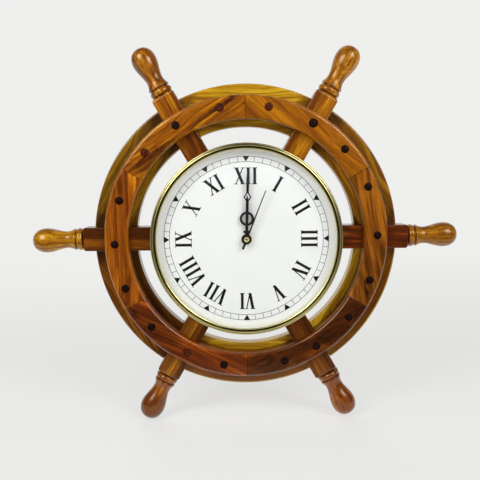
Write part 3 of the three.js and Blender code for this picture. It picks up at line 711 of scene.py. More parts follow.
# %% Shared sizes, peg places and the drill
RIM = {"inner": 117, "outer": 162, "depth": 15, "front_ease": 1.8, "back_ease": 0.8}
RING = {"inner": 124, "outer": 149, "back": 15.3, "front": 34, "ease": 3.5, "end_ease": 0.25, "joint": 0.15}
SPOKE = {"half": 12.5, "back": 4, "front": 26, "start": 92.3, "end": 173.3, "chamfer": 2.4, "ease": 1.1}
PEG = {"radius": 4, "clearance": 0.25, "circle": 138, "grip": 8, "sunk": 0.6, "hole_start": 5,
       "hole_lip": 0.5}
PEG_DEGREES = {1: (-19.2, 0.9, 22.7), 2: (-18.1, -0.4, 20), 3: (-19, 1.4, 19.1), 4: (-17.3, 2, 22),
               5: (-17.4, 2.3, 19.5), 6: (-13, 2.5, 21.9)}
FIT = 0.3
OVERCUT = 5
# How far inside each edge the wear and painted highlight lie.
WEAR_AND_SHEEN_INSET = 0.5


def peg_places(number, turn=0.0):
    """Where one felloe's three pegs stand: the middle one in the spoke, the others in the rim."""
    angles = [turn + math.radians(degrees) for degrees in PEG_DEGREES[number]]
    return [(PEG["circle"] * math.cos(a), PEG["circle"] * math.sin(a)) for a in angles]


def hole_cutter(place, bottom, top, lip=0.0):
    """A drill for one peg hole, flared at its top by the lip."""
    radius = PEG["radius"] + PEG["clearance"]
    line = [(bottom, 0), (bottom, radius), (top - lip, radius), (top, radius + lip),
            (top + OVERCUT, radius + lip), (top + OVERCUT, 0)]
    return shifted(turned_piece(line, "Z", steps=24), (*place, 0))


def spoke_cutter(ring, bottom, top):
    """A saw for the way of a spoke through a ring, drawn at spoke 1."""
    return board((ring["inner"] - OVERCUT, ring["outer"] + OVERCUT),
                 (-SPOKE["half"] - FIT, SPOKE["half"] + FIT), (bottom, top))


def wear_and_sheen_edges(ring):
    """The radii at which a ring's edges are rubbed and carry a painted highlight."""
    return ring["inner"] + WEAR_AND_SHEEN_INSET, ring["outer"] - WEAR_AND_SHEEN_INSET


print("pegs stand on a circle of", PEG["circle"], "mm")

# %% [markdown]
# Each sixth of the rim has its own wood, with the grain straight across it, and stain where the boards
# meet, with painted shade beside the spokes. As in the photograph, the bottom and lower right boards are
# dark at the outer edge and bright inside: the dark is painted shade of the front ring, and the bright is
# painted light. The lower left one is dark inside instead, heartwood with painted shade of the front ring.
# Six pieces would do as well, but one mesh with six materials keeps the ring a single turned form.

# %% Rear rim
HANGER_RECESS = {"half": 25, "low": 126, "high": 151, "depth": 4, "corner": 1.2}
# The bottom and lower right tones are paler than their wood, as painted light where the front ring's shade
# falls.
RIM_WOODS_AND_LIGHT = {
    "upper_right": ((180, 124, 14), (132, 82, 7), (58, 22, 3)),
    "top": ((222, 178, 34), (194, 142, 18), (112, 62, 6)),
    "upper_left": ((158, 118, 12), (118, 80, 6), (54, 24, 4)),
    "lower_left": ((152, 92, 8), (114, 62, 5), (54, 20, 3)),
    "bottom": ((255, 224, 72), (246, 192, 40), (126, 56, 4)),
    "lower_right": ((255, 220, 56), (244, 184, 26), (92, 34, 4)),
}
# Painted shade across the boards: the front ring's shade at the outer edge of the bottom and lower right
# boards, and inside the lower left one together with its heartwood.
RIM_HEART_AND_SHADE = {
    "lower_left": [(0, 0), (0.5, 0), (0.6, 0.5), (1, 0.6)],
    "bottom": [(0, 0.95), (0.42, 0.9), (0.56, 0.1), (1, 0)],
    "lower_right": [(0, 0.95), (0.4, 0.85), (0.54, 0.1), (1, 0)],
}
RIM_HEART_AND_SHADE_SPAN = (-RIM["outer"], -101)
# Fewer streaks on the bottom and lower right boards, which also brightens them as painted light.
RIM_STREAKS = {"bottom": 0.1, "lower_right": 0.2}
# Stain with painted shade beside the spokes, from this distance along each board.
RIM_STAIN_AND_SHADE = 56
bm = section([(RIM["inner"], 0), (RIM["outer"], 0), (RIM["outer"], RIM["depth"]),
              (RIM["inner"], RIM["depth"])])
ease_corners(bm, [(RIM["inner"], RIM["depth"]), (RIM["outer"], RIM["depth"])], RIM["front_ease"], 4)
ease_corners(bm, [(RIM["inner"], 0), (RIM["outer"], 0)], RIM["back_ease"], 2)
spin_ring(bm, steps=180)
cutters = []
for number in range(1, SPOKES + 1):
    notch = spoke_cutter(RIM, SPOKE["back"] - FIT, RIM["depth"] + OVERCUT)
    cutters.append(turned(notch, spoke_angle(number)))
    cutters += [hole_cutter(place, RIM["depth"] - PEG["grip"] - FIT, RIM["depth"] + 1)
                for place in peg_places(number, spoke_angle(number))[::2]]
cutters.append(board((-HANGER_RECESS["half"], HANGER_RECESS["half"]),
                     (HANGER_RECESS["low"], HANGER_RECESS["high"]),
                     (-OVERCUT, HANGER_RECESS["depth"]), HANGER_RECESS["corner"]))
bm = carved(bm, cutters)
for face in bm.faces:
    middle = face.calc_center_median()
    face.material_index = int(math.degrees(math.atan2(middle.y, middle.x)) % 360 // (360 / SPOKES))
rim_woods_and_shade = []
for number, (side, woods) in enumerate(RIM_WOODS_AND_LIGHT.items(), 1):
    along = spoke_angle(number) + math.pi / SPOKES + math.pi / 2
    rim_woods_and_shade.append(lacquered_wood(
        f"rim_wood_{side}", along, woods, seed=2.3 * number, streaks=RIM_STREAKS.get(side, 0.5),
        heart_and_shade=RIM_HEART_AND_SHADE.get(side, ()), heart_and_shade_span=RIM_HEART_AND_SHADE_SPAN, stain_and_shade_ends=RIM_STAIN_AND_SHADE,
        wear_and_sheen=wear_and_sheen_edges(RIM)))
rim = set_piece(bm, "rear_rim_turned", rim_woods_and_shade[0], stands_for=["rear_rim"])
for wood in rim_woods_and_shade[1:]:
    rim.data.materials.append(wood)
print(rim.name, len(rim.data.polygons), "faces in", len(rim_woods_and_shade), "woods")

# %% [markdown]
# Six felloes make the front ring. Each is a sixth of a ring, sawn from a straight board, so its grain
# runs straight across the arc instead of round it, and each board has its own colour. A section spun by a
# sixth of a turn gives the blank. The front edges are well rounded, and the ends are eased a little,
# which draws the thin dark lines of the joints.

# %% Front felloes
# Side, degrees of the grain, the three woods, streaks, burl and knots
FELLOES = {
    1: ("right", 101, ((170, 98, 12), (116, 60, 5), (62, 20, 2)), 0.5, 0,
        [(128, -56, 14, 3, 0), (146, -22, 18, 3, 0.5), (122, -54, 22, 10, 0.35), (130, -40, 20, 14, 0.35)]),
    2: ("upper_right", 140, ((184, 114, 10), (158, 90, 5), (100, 42, 3)), 0.2, 2,
        [(30, 143, 18, 2, 0.4)]),
    3: ("upper_left", 36, ((198, 128, 11), (164, 92, 4), (76, 22, 4)), 0.25, 3,
        [(-33, 131, 34, 2.4, 0.75), (-20, 141, 20, 4.5, 0), (-97, 87.5, 36, 2.6, 0.65),
         (-98, 86, 20, 5.5, 0)]),
    4: ("left", 90, ((214, 132, 10), (168, 88, 4), (86, 26, 2)), 0.6, 0,
        [(-129, -62, 9, 5, 0), (-131, 57, 12, 3, 0.6), (-138, -36, 48, 24, 0.15)]),
    5: ("lower_left", -26, ((160, 76, 6), (114, 43, 3), (60, 12, 2)), 0.6, 0,
        [(-122, -80, 8, 5, 0), (-106, -94, 40, 18, 0.5), (-66, -122, 5, 3, 0)]),
    6: ("lower_right", 25, ((122, 58, 6), (88, 35, 3), (52, 15, 3)), 0.6, 8,
        [(93, -104, 22, 9, 0), (117, -79, 14, 7, 0), (16, -131, 14, 6, 0), (44, -128, 30, 12, 0.45)]),
}


def felloe_blank(number):
    """A sixth of the ring, drawn at spoke 1, with its ends eased and its peg holes drilled."""
    half = math.pi / SPOKES - RING["joint"] / RING["inner"]
    bm = section([(RING["inner"], RING["back"]), (RING["outer"], RING["back"]),
                  (RING["outer"], RING["front"]), (RING["inner"], RING["front"])])
    ease_corners(bm, [(RING["inner"], RING["front"]), (RING["outer"], RING["front"])], RING["ease"], 6)
    turned(bm, -half)
    start = bm.faces[:]
    spun = bmesh.ops.spin(bm, geom=bm.verts[:] + bm.edges[:] + start, cent=(0, 0, 0), axis=(0, 0, 1),
                          angle=2 * half, steps=36)
    ends = start + [f for f in spun["geom_last"] if isinstance(f, bmesh.types.BMFace)]
    rims = list(dict.fromkeys(e for f in ends for e in f.edges))
    bmesh.ops.recalc_face_normals(bm, faces=bm.faces)
    soften(bm, rims, RING["end_ease"], 2)
    housing = spoke_cutter(RING, 0, SPOKE["front"] + FIT)
    holes = [hole_cutter(place, PEG["hole_start"], RING["front"], PEG["hole_lip"])
             for place in peg_places(number)]
    return carved(bm, [housing] + holes)


for number, (side, grain, woods, streaks, burl, knots) in FELLOES.items():
    wood = lacquered_wood(f"felloe_wood_{side}", math.radians(grain), woods, seed=3.1 * number,
                          streaks=streaks, burl=burl, knots=knots, wear_and_sheen=wear_and_sheen_edges(RING))
    made = set_piece(felloe_blank(number), f"felloe_{side}", wood,
                     stands_for=[f"front_felloe_{number}"], angle=spoke_angle(number))
print("felloes have", len(made.data.polygons), "faces each")

# %% [markdown]
# The spokes are square bars with eased edges, cut back at the outer end round the handle's foot. They
# start as blocks, because a bar needs no more. A bar that is half heartwood has a dark side and a golden
# side, which is why some spokes show two colours along their length.

# %% Spokes
SPOKE_WOODS = {
    1: ((152, 72, 12), (96, 34, 4), (40, 8, 2)),
    2: ((208, 144, 22), (172, 104, 9), (92, 36, 4)),
    3: ((206, 138, 18), (172, 96, 7), (78, 22, 4)),
    4: ((184, 116, 11), (142, 76, 6), (58, 14, 3)),
    5: ((184, 120, 16), (148, 84, 7), (70, 22, 3)),
    6: ((156, 90, 12), (116, 56, 7), (56, 16, 3)),
}
SPOKE_HEART = {
    1: [],
    2: [(0, 0.5), (0.1, 0.5), (0.2, 0), (0.62, 0), (0.7, 0.7), (1, 0.75)],
    3: [(0, 0.85), (0.16, 0.7), (0.26, 0.15), (0.4, 0.2), (0.46, 0.6), (0.54, 0), (1, 0)],
    4: [(0, 0.8), (0.44, 0.8), (0.52, 0), (0.8, 0), (0.88, 0.7), (1, 0.9)],
    5: [(0, 0.1), (0.6, 0), (0.75, 0.8), (1, 0.9)],
    6: [(0, 0.2), (0.62, 0.1), (0.74, 0.9), (1, 0.6)],
}
SPOKE_STAINS = {3: [(-54, 95, 20, 14, 0.5)]}


def spoke_blank(number):
    """A bar on the x axis with a chamfered outer end and the hole for its peg."""
    bar = board((SPOKE["start"], SPOKE["end"]), (-SPOKE["half"], SPOKE["half"]),
                (SPOKE["back"], SPOKE["front"]))
    half_way = (SPOKE["start"] + SPOKE["end"]) / 2
    soften(bar, [e for e in bar.edges if all(v.co.x > half_way for v in e.verts)], SPOKE["chamfer"], 1)
    soften(bar, bar.edges[:], SPOKE["ease"], 3)
    hole = hole_cutter(peg_places(number)[1], SPOKE["front"] - PEG["grip"] - FIT, SPOKE["front"] + 1)
    return carved(bar, [hole])


for number, woods in SPOKE_WOODS.items():
    wood = lacquered_wood(f"spoke_wood_{number}", spoke_angle(number), woods, seed=5.3 * number, streaks=0.35,
                          heart_and_shade=SPOKE_HEART[number], knots=SPOKE_STAINS.get(number, ()))
    made = set_piece(spoke_blank(number), f"spoke_bar_{number}", wood,
                     stands_for=[f"spoke_{number}"], angle=spoke_angle(number))
print("spokes have", len(made.data.polygons), "faces each")

# %% [markdown]
# A handle is turned: a bead and a flared lip with a groove between them, then a waist that swells into an
# egg-shaped grip. The grip could be drawn point by point, but a smooth curve through a few measured
# points is rounder and easier to change. No two hand-turned handles are quite alike, so each has its own
# length, and leans and sits off the middle as the photographed one does.

# %% Handles
HANDLE_START = SPOKE["end"] + FIT
HANDLE_MIDDLE = (SPOKE["back"] + SPOKE["front"]) / 2
TENON = [(-18, 0), (-18, 5), (0, 5)]
BEAD = [(0, 10.2), (0.6, 10.8), (1.2, 11.3), (2.2, 11.75), (3.4, 11.9), (4.6, 11.75), (5.6, 11.3),
        (6.2, 10.7)]
GROOVE_AND_LIP = [(6.6, 10.0), (7.0, 9.75), (7.4, 9.8), (7.7, 10.4), (8.0, 11.0), (8.5, 11.35), (9.0, 11.4)]
GRIP = [(9.0, 11.4), (11.3, 10.4), (14.5, 9.3), (18.2, 8.95), (22.5, 9.5), (27.5, 10.75), (33.5, 12.3),
        (39.5, 13.05), (45.0, 12.5), (49.5, 10.7), (52.6, 8.0), (54.4, 4.6), (55.0, 0.0)]
HANDLE_WOODS = {
    1: ((196, 136, 16), (156, 96, 7), (88, 42, 4)),
    2: ((200, 136, 26), (158, 96, 12), (84, 36, 4)),
    3: ((200, 134, 24), (160, 94, 10), (84, 32, 4)),
    4: ((204, 148, 18), (168, 108, 8), (96, 48, 4)),
    5: ((172, 104, 16), (130, 66, 7), (92, 34, 5)),
    6: ((172, 96, 14), (136, 66, 8), (70, 22, 3)),
}
# Places along the handle of the grooves' painted shade, and their half widths.
HANDLE_GROOVE_SHADE = [(173.7, 0.4), (180.7, 0.4)]
HANDLE_STAIN = {5: 196}
# Millimetres off the middle, degrees of lean and length
HANDLE_FIT = {1: (0, 1.3, 53), 2: (0.1, 0, 55), 3: (-0.7, -1.9, 53), 4: (0.4, 1.7, 54), 5: (0.6, 2.8, 53.5),
              6: (1.3, -1.8, 53)}


def smooth_line(points, parts):
    """Points on a smooth curve through the given ones, with so many parts between each two."""
    ends = [points[0]] + points + [points[-1]]
    line = [points[0]]
    for before, start, end, after in zip(ends, ends[1:], ends[2:], ends[3:]):
        out = [s + (e - b) / 6 for b, s, e in zip(before, start, end)]
        into = [e - (a - s) / 6 for s, e, a in zip(start, end, after)]
        run = interpolate_bezier(*(Vector((*point, 0)) for point in (start, out, into, end)), parts + 1)
        line += [(p.x, max(p.y, 0)) for p in run[1:]]
    return line


for number, woods in HANDLE_WOODS.items():
    wood = lacquered_wood(f"handle_wood_{number}", spoke_angle(number), woods, seed=7.9 * number, streaks=0.4,
                          grooves=HANDLE_GROOVE_SHADE, stain_and_shade_ends=HANDLE_STAIN.get(number))
    off_middle, lean, length = HANDLE_FIT[number]
    bm = turned_piece(TENON + BEAD + GROOVE_AND_LIP + smooth_line(GRIP, 4)[1:], "X", steps=56)
    bmesh.ops.scale(bm, verts=bm.verts, vec=(length / GRIP[-1][0], 1, 1))
    shifted(turned(bm, math.radians(lean)), (HANDLE_START, off_middle, HANDLE_MIDDLE))
    made = set_piece(bm, f"handle_grip_{number}", wood, stands_for=[f"handle_{number}"],
                     angle=spoke_angle(number), sharp=50, flat_faces=False)
print("handles have", len(made.data.polygons), "faces each")

# %% [markdown]
# The pegs are dark dowels, driven a little below the surface and faintly crowned. Their ends are end
# grain, which drinks the stain and looks nearly black, so the finish is fine specks and no stripes. Four
# of them were stained less and look red.

# %% Pegs
PEG_FOOT = [(0, 0), (0, 3.4), (0.6, 4.0)]
PEG_CROWN = [(-0.5, 4.0), (-0.2, 3.8), (0, 3.2), (0.15, 1.6), (0.2, 0)]
RED_PEGS = (6, 7, 9, 14)


def end_grain(name, dark, light):
    """Stained end grain: fine specks in two tones."""
    material, tree, shader = blank_finish(name)
    specks = noise(tree, object_coords(tree), (1100, 1100, 1100), shift=2.0)
    tone = spread(tree, specks, 0.35, 0.65)
    tree.links.new(mix_colour(tree, tone, colour(*dark), colour(*light)), shader.inputs["Base Color"])
    tree.links.new(spread(tree, specks, 0, 1, 0.35, 0.6), shader.inputs["Roughness"])
    add_bump(tree, shader, specks, 0.3, 0.0003)
    fill(shader, {"Specular IOR Level": 0.12})
    return material


dark_peg = end_grain("peg_end_dark", (9, 3, 2), (36, 11, 5))
red_peg = end_grain("peg_end_red", (44, 14, 4), (96, 38, 10))
peg_top = RING["front"] - PEG["sunk"]
count = 0
for number in range(1, SPOKES + 1):
    for order, peg_place in enumerate(peg_places(number, spoke_angle(number))):
        count += 1
        foot = (SPOKE["front"] if order == 1 else RIM["depth"]) - PEG["grip"]
        line = [(foot + rise, r) for rise, r in PEG_FOOT] + [(peg_top + rise, r) for rise, r in PEG_CROWN]
        bm = shifted(turned_piece(line, "Z", steps=28), (*peg_place, 0))
        set_piece(bm, f"peg_end_{count:02d}", red_peg if count in RED_PEGS else dark_peg,
                  stands_for=[f"peg_{count:02d}"])
print(count, "pegs")

# %% [markdown]
# The hub is a plain wooden ring that carries the spokes. The clock hides its front, so it is seen only
# from the back, round the hole through which the movement is reached. One spun rectangle with eased
# corners is enough.

# %% Hub
HUB = {"inner": 50.2, "outer": 92, "back": 4, "front": 26, "ease": 1.2}
HUB_WOODS = ((190, 126, 20), (150, 88, 9), (72, 26, 4))
HUB_GRAIN = 0.9
hub_wood = lacquered_wood("hub_wood", HUB_GRAIN, HUB_WOODS, seed=11.7, streaks=0.4)
bm = section([(HUB["inner"], HUB["back"]), (HUB["outer"], HUB["back"]), (HUB["outer"], HUB["front"]),
              (HUB["inner"], HUB["front"])])
ease_corners(bm, [(HUB["inner"], HUB["back"]), (HUB["outer"], HUB["back"]), (HUB["outer"], HUB["front"])],
             HUB["ease"], 3)
spin_ring(bm, steps=144)
made = set_piece(bm, "hub_ring", hub_wood, stands_for=["hub"])
print(made.name, len(made.data.polygons), "faces")

# %% [markdown]
# The brass is thin polished sheet. The colour of a metal is only in what it reflects, so a plain
# yellow would look like paint: the shader is fully metallic, and its tint clouds a little. The grooves
# are painted dark as shade, and fine scratches run round the ring as the polishing wheel left them.
# They are noise on angle, depth and radius instead of x, y and z.

# %% Polished brass
BRASS_TONES = (206, 192, 120), (234, 224, 166)
# Painted shade in the grooves of the brass.
BRASS_GROOVE_SHADE = (70, 60, 20)
BRASS_GROOVE_SHADE_FADE = 0.2
SCRATCHES = (0.5, 3000, 3000)


def polished_brass(name, grooves=(), rough=0.18):
    """Brass with fine turning marks; grooves are the (inner, outer) radii in millimetres of grooves painted
    dark as shade.
    """
    material, tree, shader = blank_finish(name)
    flat = board_coords(tree, 0)
    x, y, z = axes(tree, flat)
    radius = radius_from(tree, flat)
    ring = add_node(tree, "ShaderNodeCombineXYZ")
    for value, socket in zip((math_node(tree, "ARCTAN2", z, x), y, radius), ring.inputs):
        tree.links.new(value, socket)
    lines = noise(tree, ring.outputs[0], SCRATCHES, shift=1.0, detail=2)
    cloud = noise(tree, flat, (60, 60, 60), shift=4.0)
    tint = mix_colour(tree, cloud, *(colour(*tone) for tone in BRASS_TONES))
    # Grooves painted dark as shade.
    for inner, outer in grooves:
        shadow = near(tree, radius, (inner + outer) / 2, (outer - inner) / 2, BRASS_GROOVE_SHADE_FADE)
        tint = mix_colour(tree, shadow, tint, colour(*BRASS_GROOVE_SHADE))
    tree.links.new(tint, shader.inputs["Base Color"])
    tree.links.new(spread(tree, lines, 0, 1, rough, rough + 0.06), shader.inputs["Roughness"])
    fill(shader, {"Metallic": 1})
    return material


bezel_brass = polished_brass("bezel_brass", [(94.5, 95.7), (97.62, 97.98)], rough=0.3)
sheet_brass = polished_brass("sheet_brass")
print("brass in two polishes")

# %% [markdown]
# The bezel is the ring that holds the glass. It slopes outward in two shallow reeds, which catch the upper
# lamps at half past ten and half past one and the floor at the bottom; a fine line of painted shade lies
# between them. Inside a groove, also painted dark as shade, its lip slopes to the glass and so catches the
# lamps on the opposite side. A bevelled plain ring would show only one line of light, so each reed is
# drawn in the section.

# %% Bezel
BEZEL_BACK = [(93.0, 46.4), (97.0, 46.4), (97.0, 37.0), (98.4, 37.0), (98.9, 37.4), (99.2, 39.0),
              (99.5, 41.0)]
BEZEL_OUTER_REED = [(99.5, 45.8), (99.4, 46.2), (99.2, 46.5), (98.9, 46.8), (98.55, 47.0), (98.25, 47.08),
                    (98.1, 46.98), (98.02, 46.75)]
BEZEL_INNER_REED = [(97.6, 46.75), (97.55, 47.1), (97.45, 47.3), (97.2, 47.5), (96.8, 47.74), (96.45, 47.9),
                    (96.2, 47.92), (96.05, 47.75)]
BEZEL_GROOVE = [(95.85, 46.85), (94.3, 46.85)]
BEZEL_LIP = [(94.2, 47.45), (94.1, 47.55), (93.95, 47.52), (93.6, 47.3), (93.25, 47.0), (93.05, 46.75)]
bm = section(BEZEL_BACK + BEZEL_OUTER_REED + BEZEL_INNER_REED + BEZEL_GROOVE + BEZEL_LIP)
spin_ring(bm, steps=240)
made = set_piece(bm, "bezel_ring", bezel_brass, stands_for=["bezel"], sharp=40)
print(made.name, len(made.data.polygons), "faces")

# %% [markdown]
# The case pan is a stepped brass pan behind the dial. Its collar sits in the hub's bore, and its ledge
# carries the dial. A single sheet with a Solidify modifier would give the same wall, but the section with
# both sides of the sheet is just as short and keeps the corners exact.

# %% Case pan
PAN = {"sheet": 1, "collar": 49.8, "step": 90, "wall": 96.5, "collar_end": 14.3, "floor": 26.3, "ledge": 33.7,
       "wall_end": 43.5, "ease": 0.9}
outside = [(PAN["collar"], PAN["collar_end"]), (PAN["collar"], PAN["floor"]), (PAN["step"], PAN["floor"]),
           (PAN["step"], PAN["ledge"]), (PAN["wall"], PAN["ledge"]), (PAN["wall"], PAN["wall_end"])]
ledge_top, floor_top = PAN["ledge"] + PAN["sheet"], PAN["floor"] + PAN["sheet"]
inside = [(PAN["wall"], PAN["wall_end"]), (PAN["wall"], ledge_top), (PAN["step"], ledge_top),
          (PAN["step"], floor_top), (PAN["collar"], floor_top), (PAN["collar"], PAN["collar_end"])]
inside = [(radius - PAN["sheet"], height) for radius, height in inside]
bm = section(outside + inside)
ease_corners(bm, [(PAN["step"], PAN["floor"]), (PAN["wall"], PAN["ledge"])], PAN["ease"], 3)
spin_ring(bm, steps=144)
made = set_piece(bm, "case_pan_sheet", sheet_brass, stands_for=["case_pan"])
print(made.name, len(made.data.polygons), "faces")

# %% [markdown]
# The glass is a flat disc with a small chamfer. Glass bends light, and a renderer then loses the lamps'
# light on what lies behind it. The glass could be left out, but then the dial would miss its reflections.
# So rays that carry light to the dial are let straight through, and the camera's rays still meet glass.

# %% Glass
GLASS = {"radius": 96.2, "chamfer": 0.4}
clear_glass, tree, shader = blank_finish("clear_glass")
fill(shader, {"Base Color": (1, 1, 1, 1), "Roughness": 0.0, "Transmission Weight": 1, "IOR": 1.45})
ray = add_node(tree, "ShaderNodeLightPath").outputs
through = add_node(tree, "ShaderNodeBsdfTransparent")
lights_dial = math_node(tree, "MAXIMUM", ray["Is Shadow Ray"], ray["Is Diffuse Ray"])
tree.links.new(mix_shader(tree, lights_dial, shader.outputs[0], through.outputs[0]),
               tree.nodes["Material Output"].inputs["Surface"])
glass_low, glass_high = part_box("glass")
back, front = -glass_high.y * MILLIMETRES, -glass_low.y * MILLIMETRES
inner = GLASS["radius"] - GLASS["chamfer"]
bm = turned_piece([(back, 0), (back, inner), (back + GLASS["chamfer"], GLASS["radius"]),
                   (front - GLASS["chamfer"], GLASS["radius"]), (front, inner), (front, 0)], "Z", steps=144)
made = set_piece(bm, "glass_disc", clear_glass, stands_for=["glass"])
print(made.name, "from", round(back, 2), "to", round(front, 2), "mm")

# %% [markdown]
# The dial is a pressed metal disc, flat to the minute track and then curved up to the glass, which is why
# its edge lies in soft shade. A painted gradient would stay put when the light moves, so the curve is
# real. The finish is white enamel with a faint mottle. Painted shade darkens its edge further, tinged
# yellow as a painted reflection of the brass.

# %% Dial
DIAL = {"bore": 4.6, "back": 35, "face": 36.0, "edge": 94.8, "top": 43.5}
DIAL_CURVE = [(93.8, 43.5), (93.75, 42.0), (93.5, 40.4), (92.9, 38.9), (91.9, 37.6), (90.4, 36.7),
              (88.6, 36.15), (87.0, 36.0)]
ENAMEL_TONES = (0.85, 0.87, 0.855, 1), (0.9, 0.92, 0.905, 1)
# Painted shade at the dial's edge, yellowed as a painted reflection of the brass.
ENAMEL_EDGE_SHADE = (216, 212, 190)
EDGE_SHADE_FROM_TO = (0.0875, 0.094)
enamel, tree, shader = blank_finish("dial_enamel")
mottle = noise(tree, object_coords(tree), (60, 60, 60), shift=1.0, detail=4)
edge_shade = spread(tree, radius_from(tree, board_coords(tree, 0)), *EDGE_SHADE_FROM_TO, to_high=0.7, smooth=True)
tint = mix_colour(tree, edge_shade, mix_colour(tree, mottle, *ENAMEL_TONES), colour(*ENAMEL_EDGE_SHADE))
tree.links.new(tint, shader.inputs["Base Color"])
tree.links.new(spread(tree, mottle, 0, 1, 0.35, 0.5), shader.inputs["Roughness"])
bm = section([(DIAL["bore"], DIAL["back"]), (DIAL["edge"], DIAL["back"]), (DIAL["edge"], DIAL["top"])]
             + DIAL_CURVE + [(DIAL["bore"], DIAL["face"])])
spin_ring(bm, steps=144)
made = set_piece(bm, "dial_plate", enamel, stands_for=["dial"], sharp=50)
print(made.name, len(made.data.polygons), "faces")

# %% [markdown]
# The print is black ink. It could be an image on the dial, but that would blur when looked at closely, so
# each mark is a thin solid that stands a few hundredths of a millimetre off the dial. Ink, black steel
# and moulded plastic are all two close tones with fine specks, so they share one recipe.

# %% Ink
INK = {"gap": 0.01, "thickness": 0.06}


def speckled(name, per_metre, dark, light, rough, relief=None, constants=None):
    """A finish in two close tones, whose specks also vary the gloss and, with relief, the height."""
    material, tree, shader = blank_finish(name)
    specks = noise(tree, object_coords(tree), (per_metre, per_metre, per_metre), shift=1.0, detail=2)
    tree.links.new(mix_colour(tree, specks, colour(*dark), colour(*light)), shader.inputs["Base Color"])
    tree.links.new(spread(tree, specks, 0, 1, *rough), shader.inputs["Roughness"])
    if relief:
        add_bump(tree, shader, specks, *relief)
    fill(shader, constants or {})
    return material


def raised(bm, faces, height):
    """Extrudes flat faces along z, keeps the old ones as the back and returns the new ones."""
    made = bmesh.ops.extrude_face_region(bm, geom=faces, use_keep_orig=True)["geom"]
    bmesh.ops.translate(bm, verts=[v for v in made if isinstance(v, bmesh.types.BMVert)], vec=(0, 0, height))
    return [f for f in made if isinstance(f, bmesh.types.BMFace)]


def flat_mark(bm, points, turn):
    """One closed outline on the dial, raised by the ink's thickness."""
    corners = [bm.verts.new(turn @ Vector((x, y, DIAL["face"] + INK["gap"]))) for x, y in points]
    raised(bm, [bm.faces.new(corners)], INK["thickness"])


ink = speckled("printing_ink", 700, (6, 7, 8), (24, 25, 27), (0.5, 0.7),
               constants={"Specular IOR Level": 0.1})
print("ink is", INK["thickness"], "mm thick")

# %% [markdown]
# Twelve Roman numerals stand with their feet to the middle. A font would bring its own look, and these
# letters need only three signs. So each letter is a set of strokes, thick and thin, with flat serifs.

# %% Letters
LETTER = {"height": 17.2, "foot": 57.1, "half_stem": 1.45, "half_serif": 2.5, "serif": 0.7, "fillet": 0.35}
LETTER_WIDTH = {"I": 6.7, "V": 9.8, "X": 11.4}
# Foot, head, width, and half a serif's length at the foot and at the head
STROKES = {
    "V": [(0.2, -3.1, 3.1, 0, 2.7), (0.2, 3.7, 1.15, 0, 1.8)],
    "X": [(3.5, -3.4, 3.2, 2.6, 2.6), (-3.9, 3.6, 1.15, 2.0, 2.0)],
}


def upright(x):
    """A thick stem with serifs, centred at x."""
    stem, wide, height = LETTER["half_stem"], LETTER["half_serif"], LETTER["height"]
    low = LETTER["serif"], LETTER["serif"] + LETTER["fillet"]
    high = [height - level for level in low]
    return [(x - wide, 0), (x + wide, 0), (x + wide, low[0]), (x + stem, low[1]), (x + stem, high[1]),
            (x + wide, high[0]), (x + wide, height), (x - wide, height), (x - wide, high[0]),
            (x - stem, high[1]), (x - stem, low[1]), (x - wide, low[0])]


def slant(foot, head, width, foot_serif, head_serif):
    """A sloping stroke and its flat serifs, if any."""
    half, top, flat = width / 2, LETTER["height"], LETTER["serif"]
    marks = [[(foot - half, 0), (foot + half, 0), (head + half, top), (head - half, top)]]
    for x, reach, low, high in ((foot, foot_serif, 0, flat), (head, head_serif, top - flat, top)):
        if reach:
            marks.append([(x - reach, low), (x + reach, low), (x + reach, high), (x - reach, high)])
    return marks


def letter(sign, x):
    """The outlines of one letter, centred at x."""
    if sign == "I":
        return [upright(x)]
    return [mark for foot, head, *rest in STROKES[sign] for mark in slant(x + foot, x + head, *rest)]


print("letters are", LETTER["height"], "mm high")

# %% [markdown]
# Round them runs a minute track like a railway line, with a small triangle at each hour. A loop over the
# hours and one over the minutes draw each mark at the top and turn it into its place. The two rails are
# spun.

# %% Printed track and numerals
TRACK = {"inner": 80.3, "outer": 86.0, "half_line": 0.22, "half_triangle": 3.5, "triangle": 5.6}
NUMERALS = ["XII", "I", "II", "III", "IV", "V", "VI", "VII", "VIII", "IX", "X", "XI"]
HOUR_DEGREES, MINUTE_DEGREES = 30, 6
line = TRACK["half_line"]
bm = bmesh.new()
for hour, word in enumerate(NUMERALS):
    turn = turned_by(-math.radians(HOUR_DEGREES * hour))
    x = -sum(LETTER_WIDTH[sign] for sign in word) / 2
    for sign in word:
        for outline in letter(sign, x + LETTER_WIDTH[sign] / 2):
            flat_mark(bm, [(px, py + LETTER["foot"]) for px, py in outline], turn)
        x += LETTER_WIDTH[sign]
    flat_mark(bm, [(-TRACK["half_triangle"], TRACK["outer"]), (0, TRACK["outer"] - TRACK["triangle"]),
                   (TRACK["half_triangle"], TRACK["outer"])], turn)
for minute in range(60):
    if minute % 5:
        flat_mark(bm, [(-line, TRACK["inner"]), (line, TRACK["inner"]), (line, TRACK["outer"]),
                       (-line, TRACK["outer"])], turned_by(-math.radians(MINUTE_DEGREES * minute)))
bmesh.ops.recalc_face_normals(bm, faces=bm.faces)
set_piece(bm, "dial_numerals", ink)
ink_back = DIAL["face"] + INK["gap"]
ink_front = ink_back + INK["thickness"]
for side in ("inner", "outer"):
    low, high = TRACK[side] - line, TRACK[side] + line
    bm = section([(low, ink_back), (high, ink_back), (high, ink_front), (low, ink_front)])
    spin_ring(bm, steps=240)
    set_piece(bm, f"track_{side}_line", ink)
print(len(NUMERALS), "numerals and the track printed")

# %% [markdown]
# The hands are stamped from thin black steel. Each is drawn as one outline with its openings, filled,
# raised to its thickness and given a fine bevel. Half of each outline is drawn and mirrored, so that both
# sides match, and round stretches are arcs.

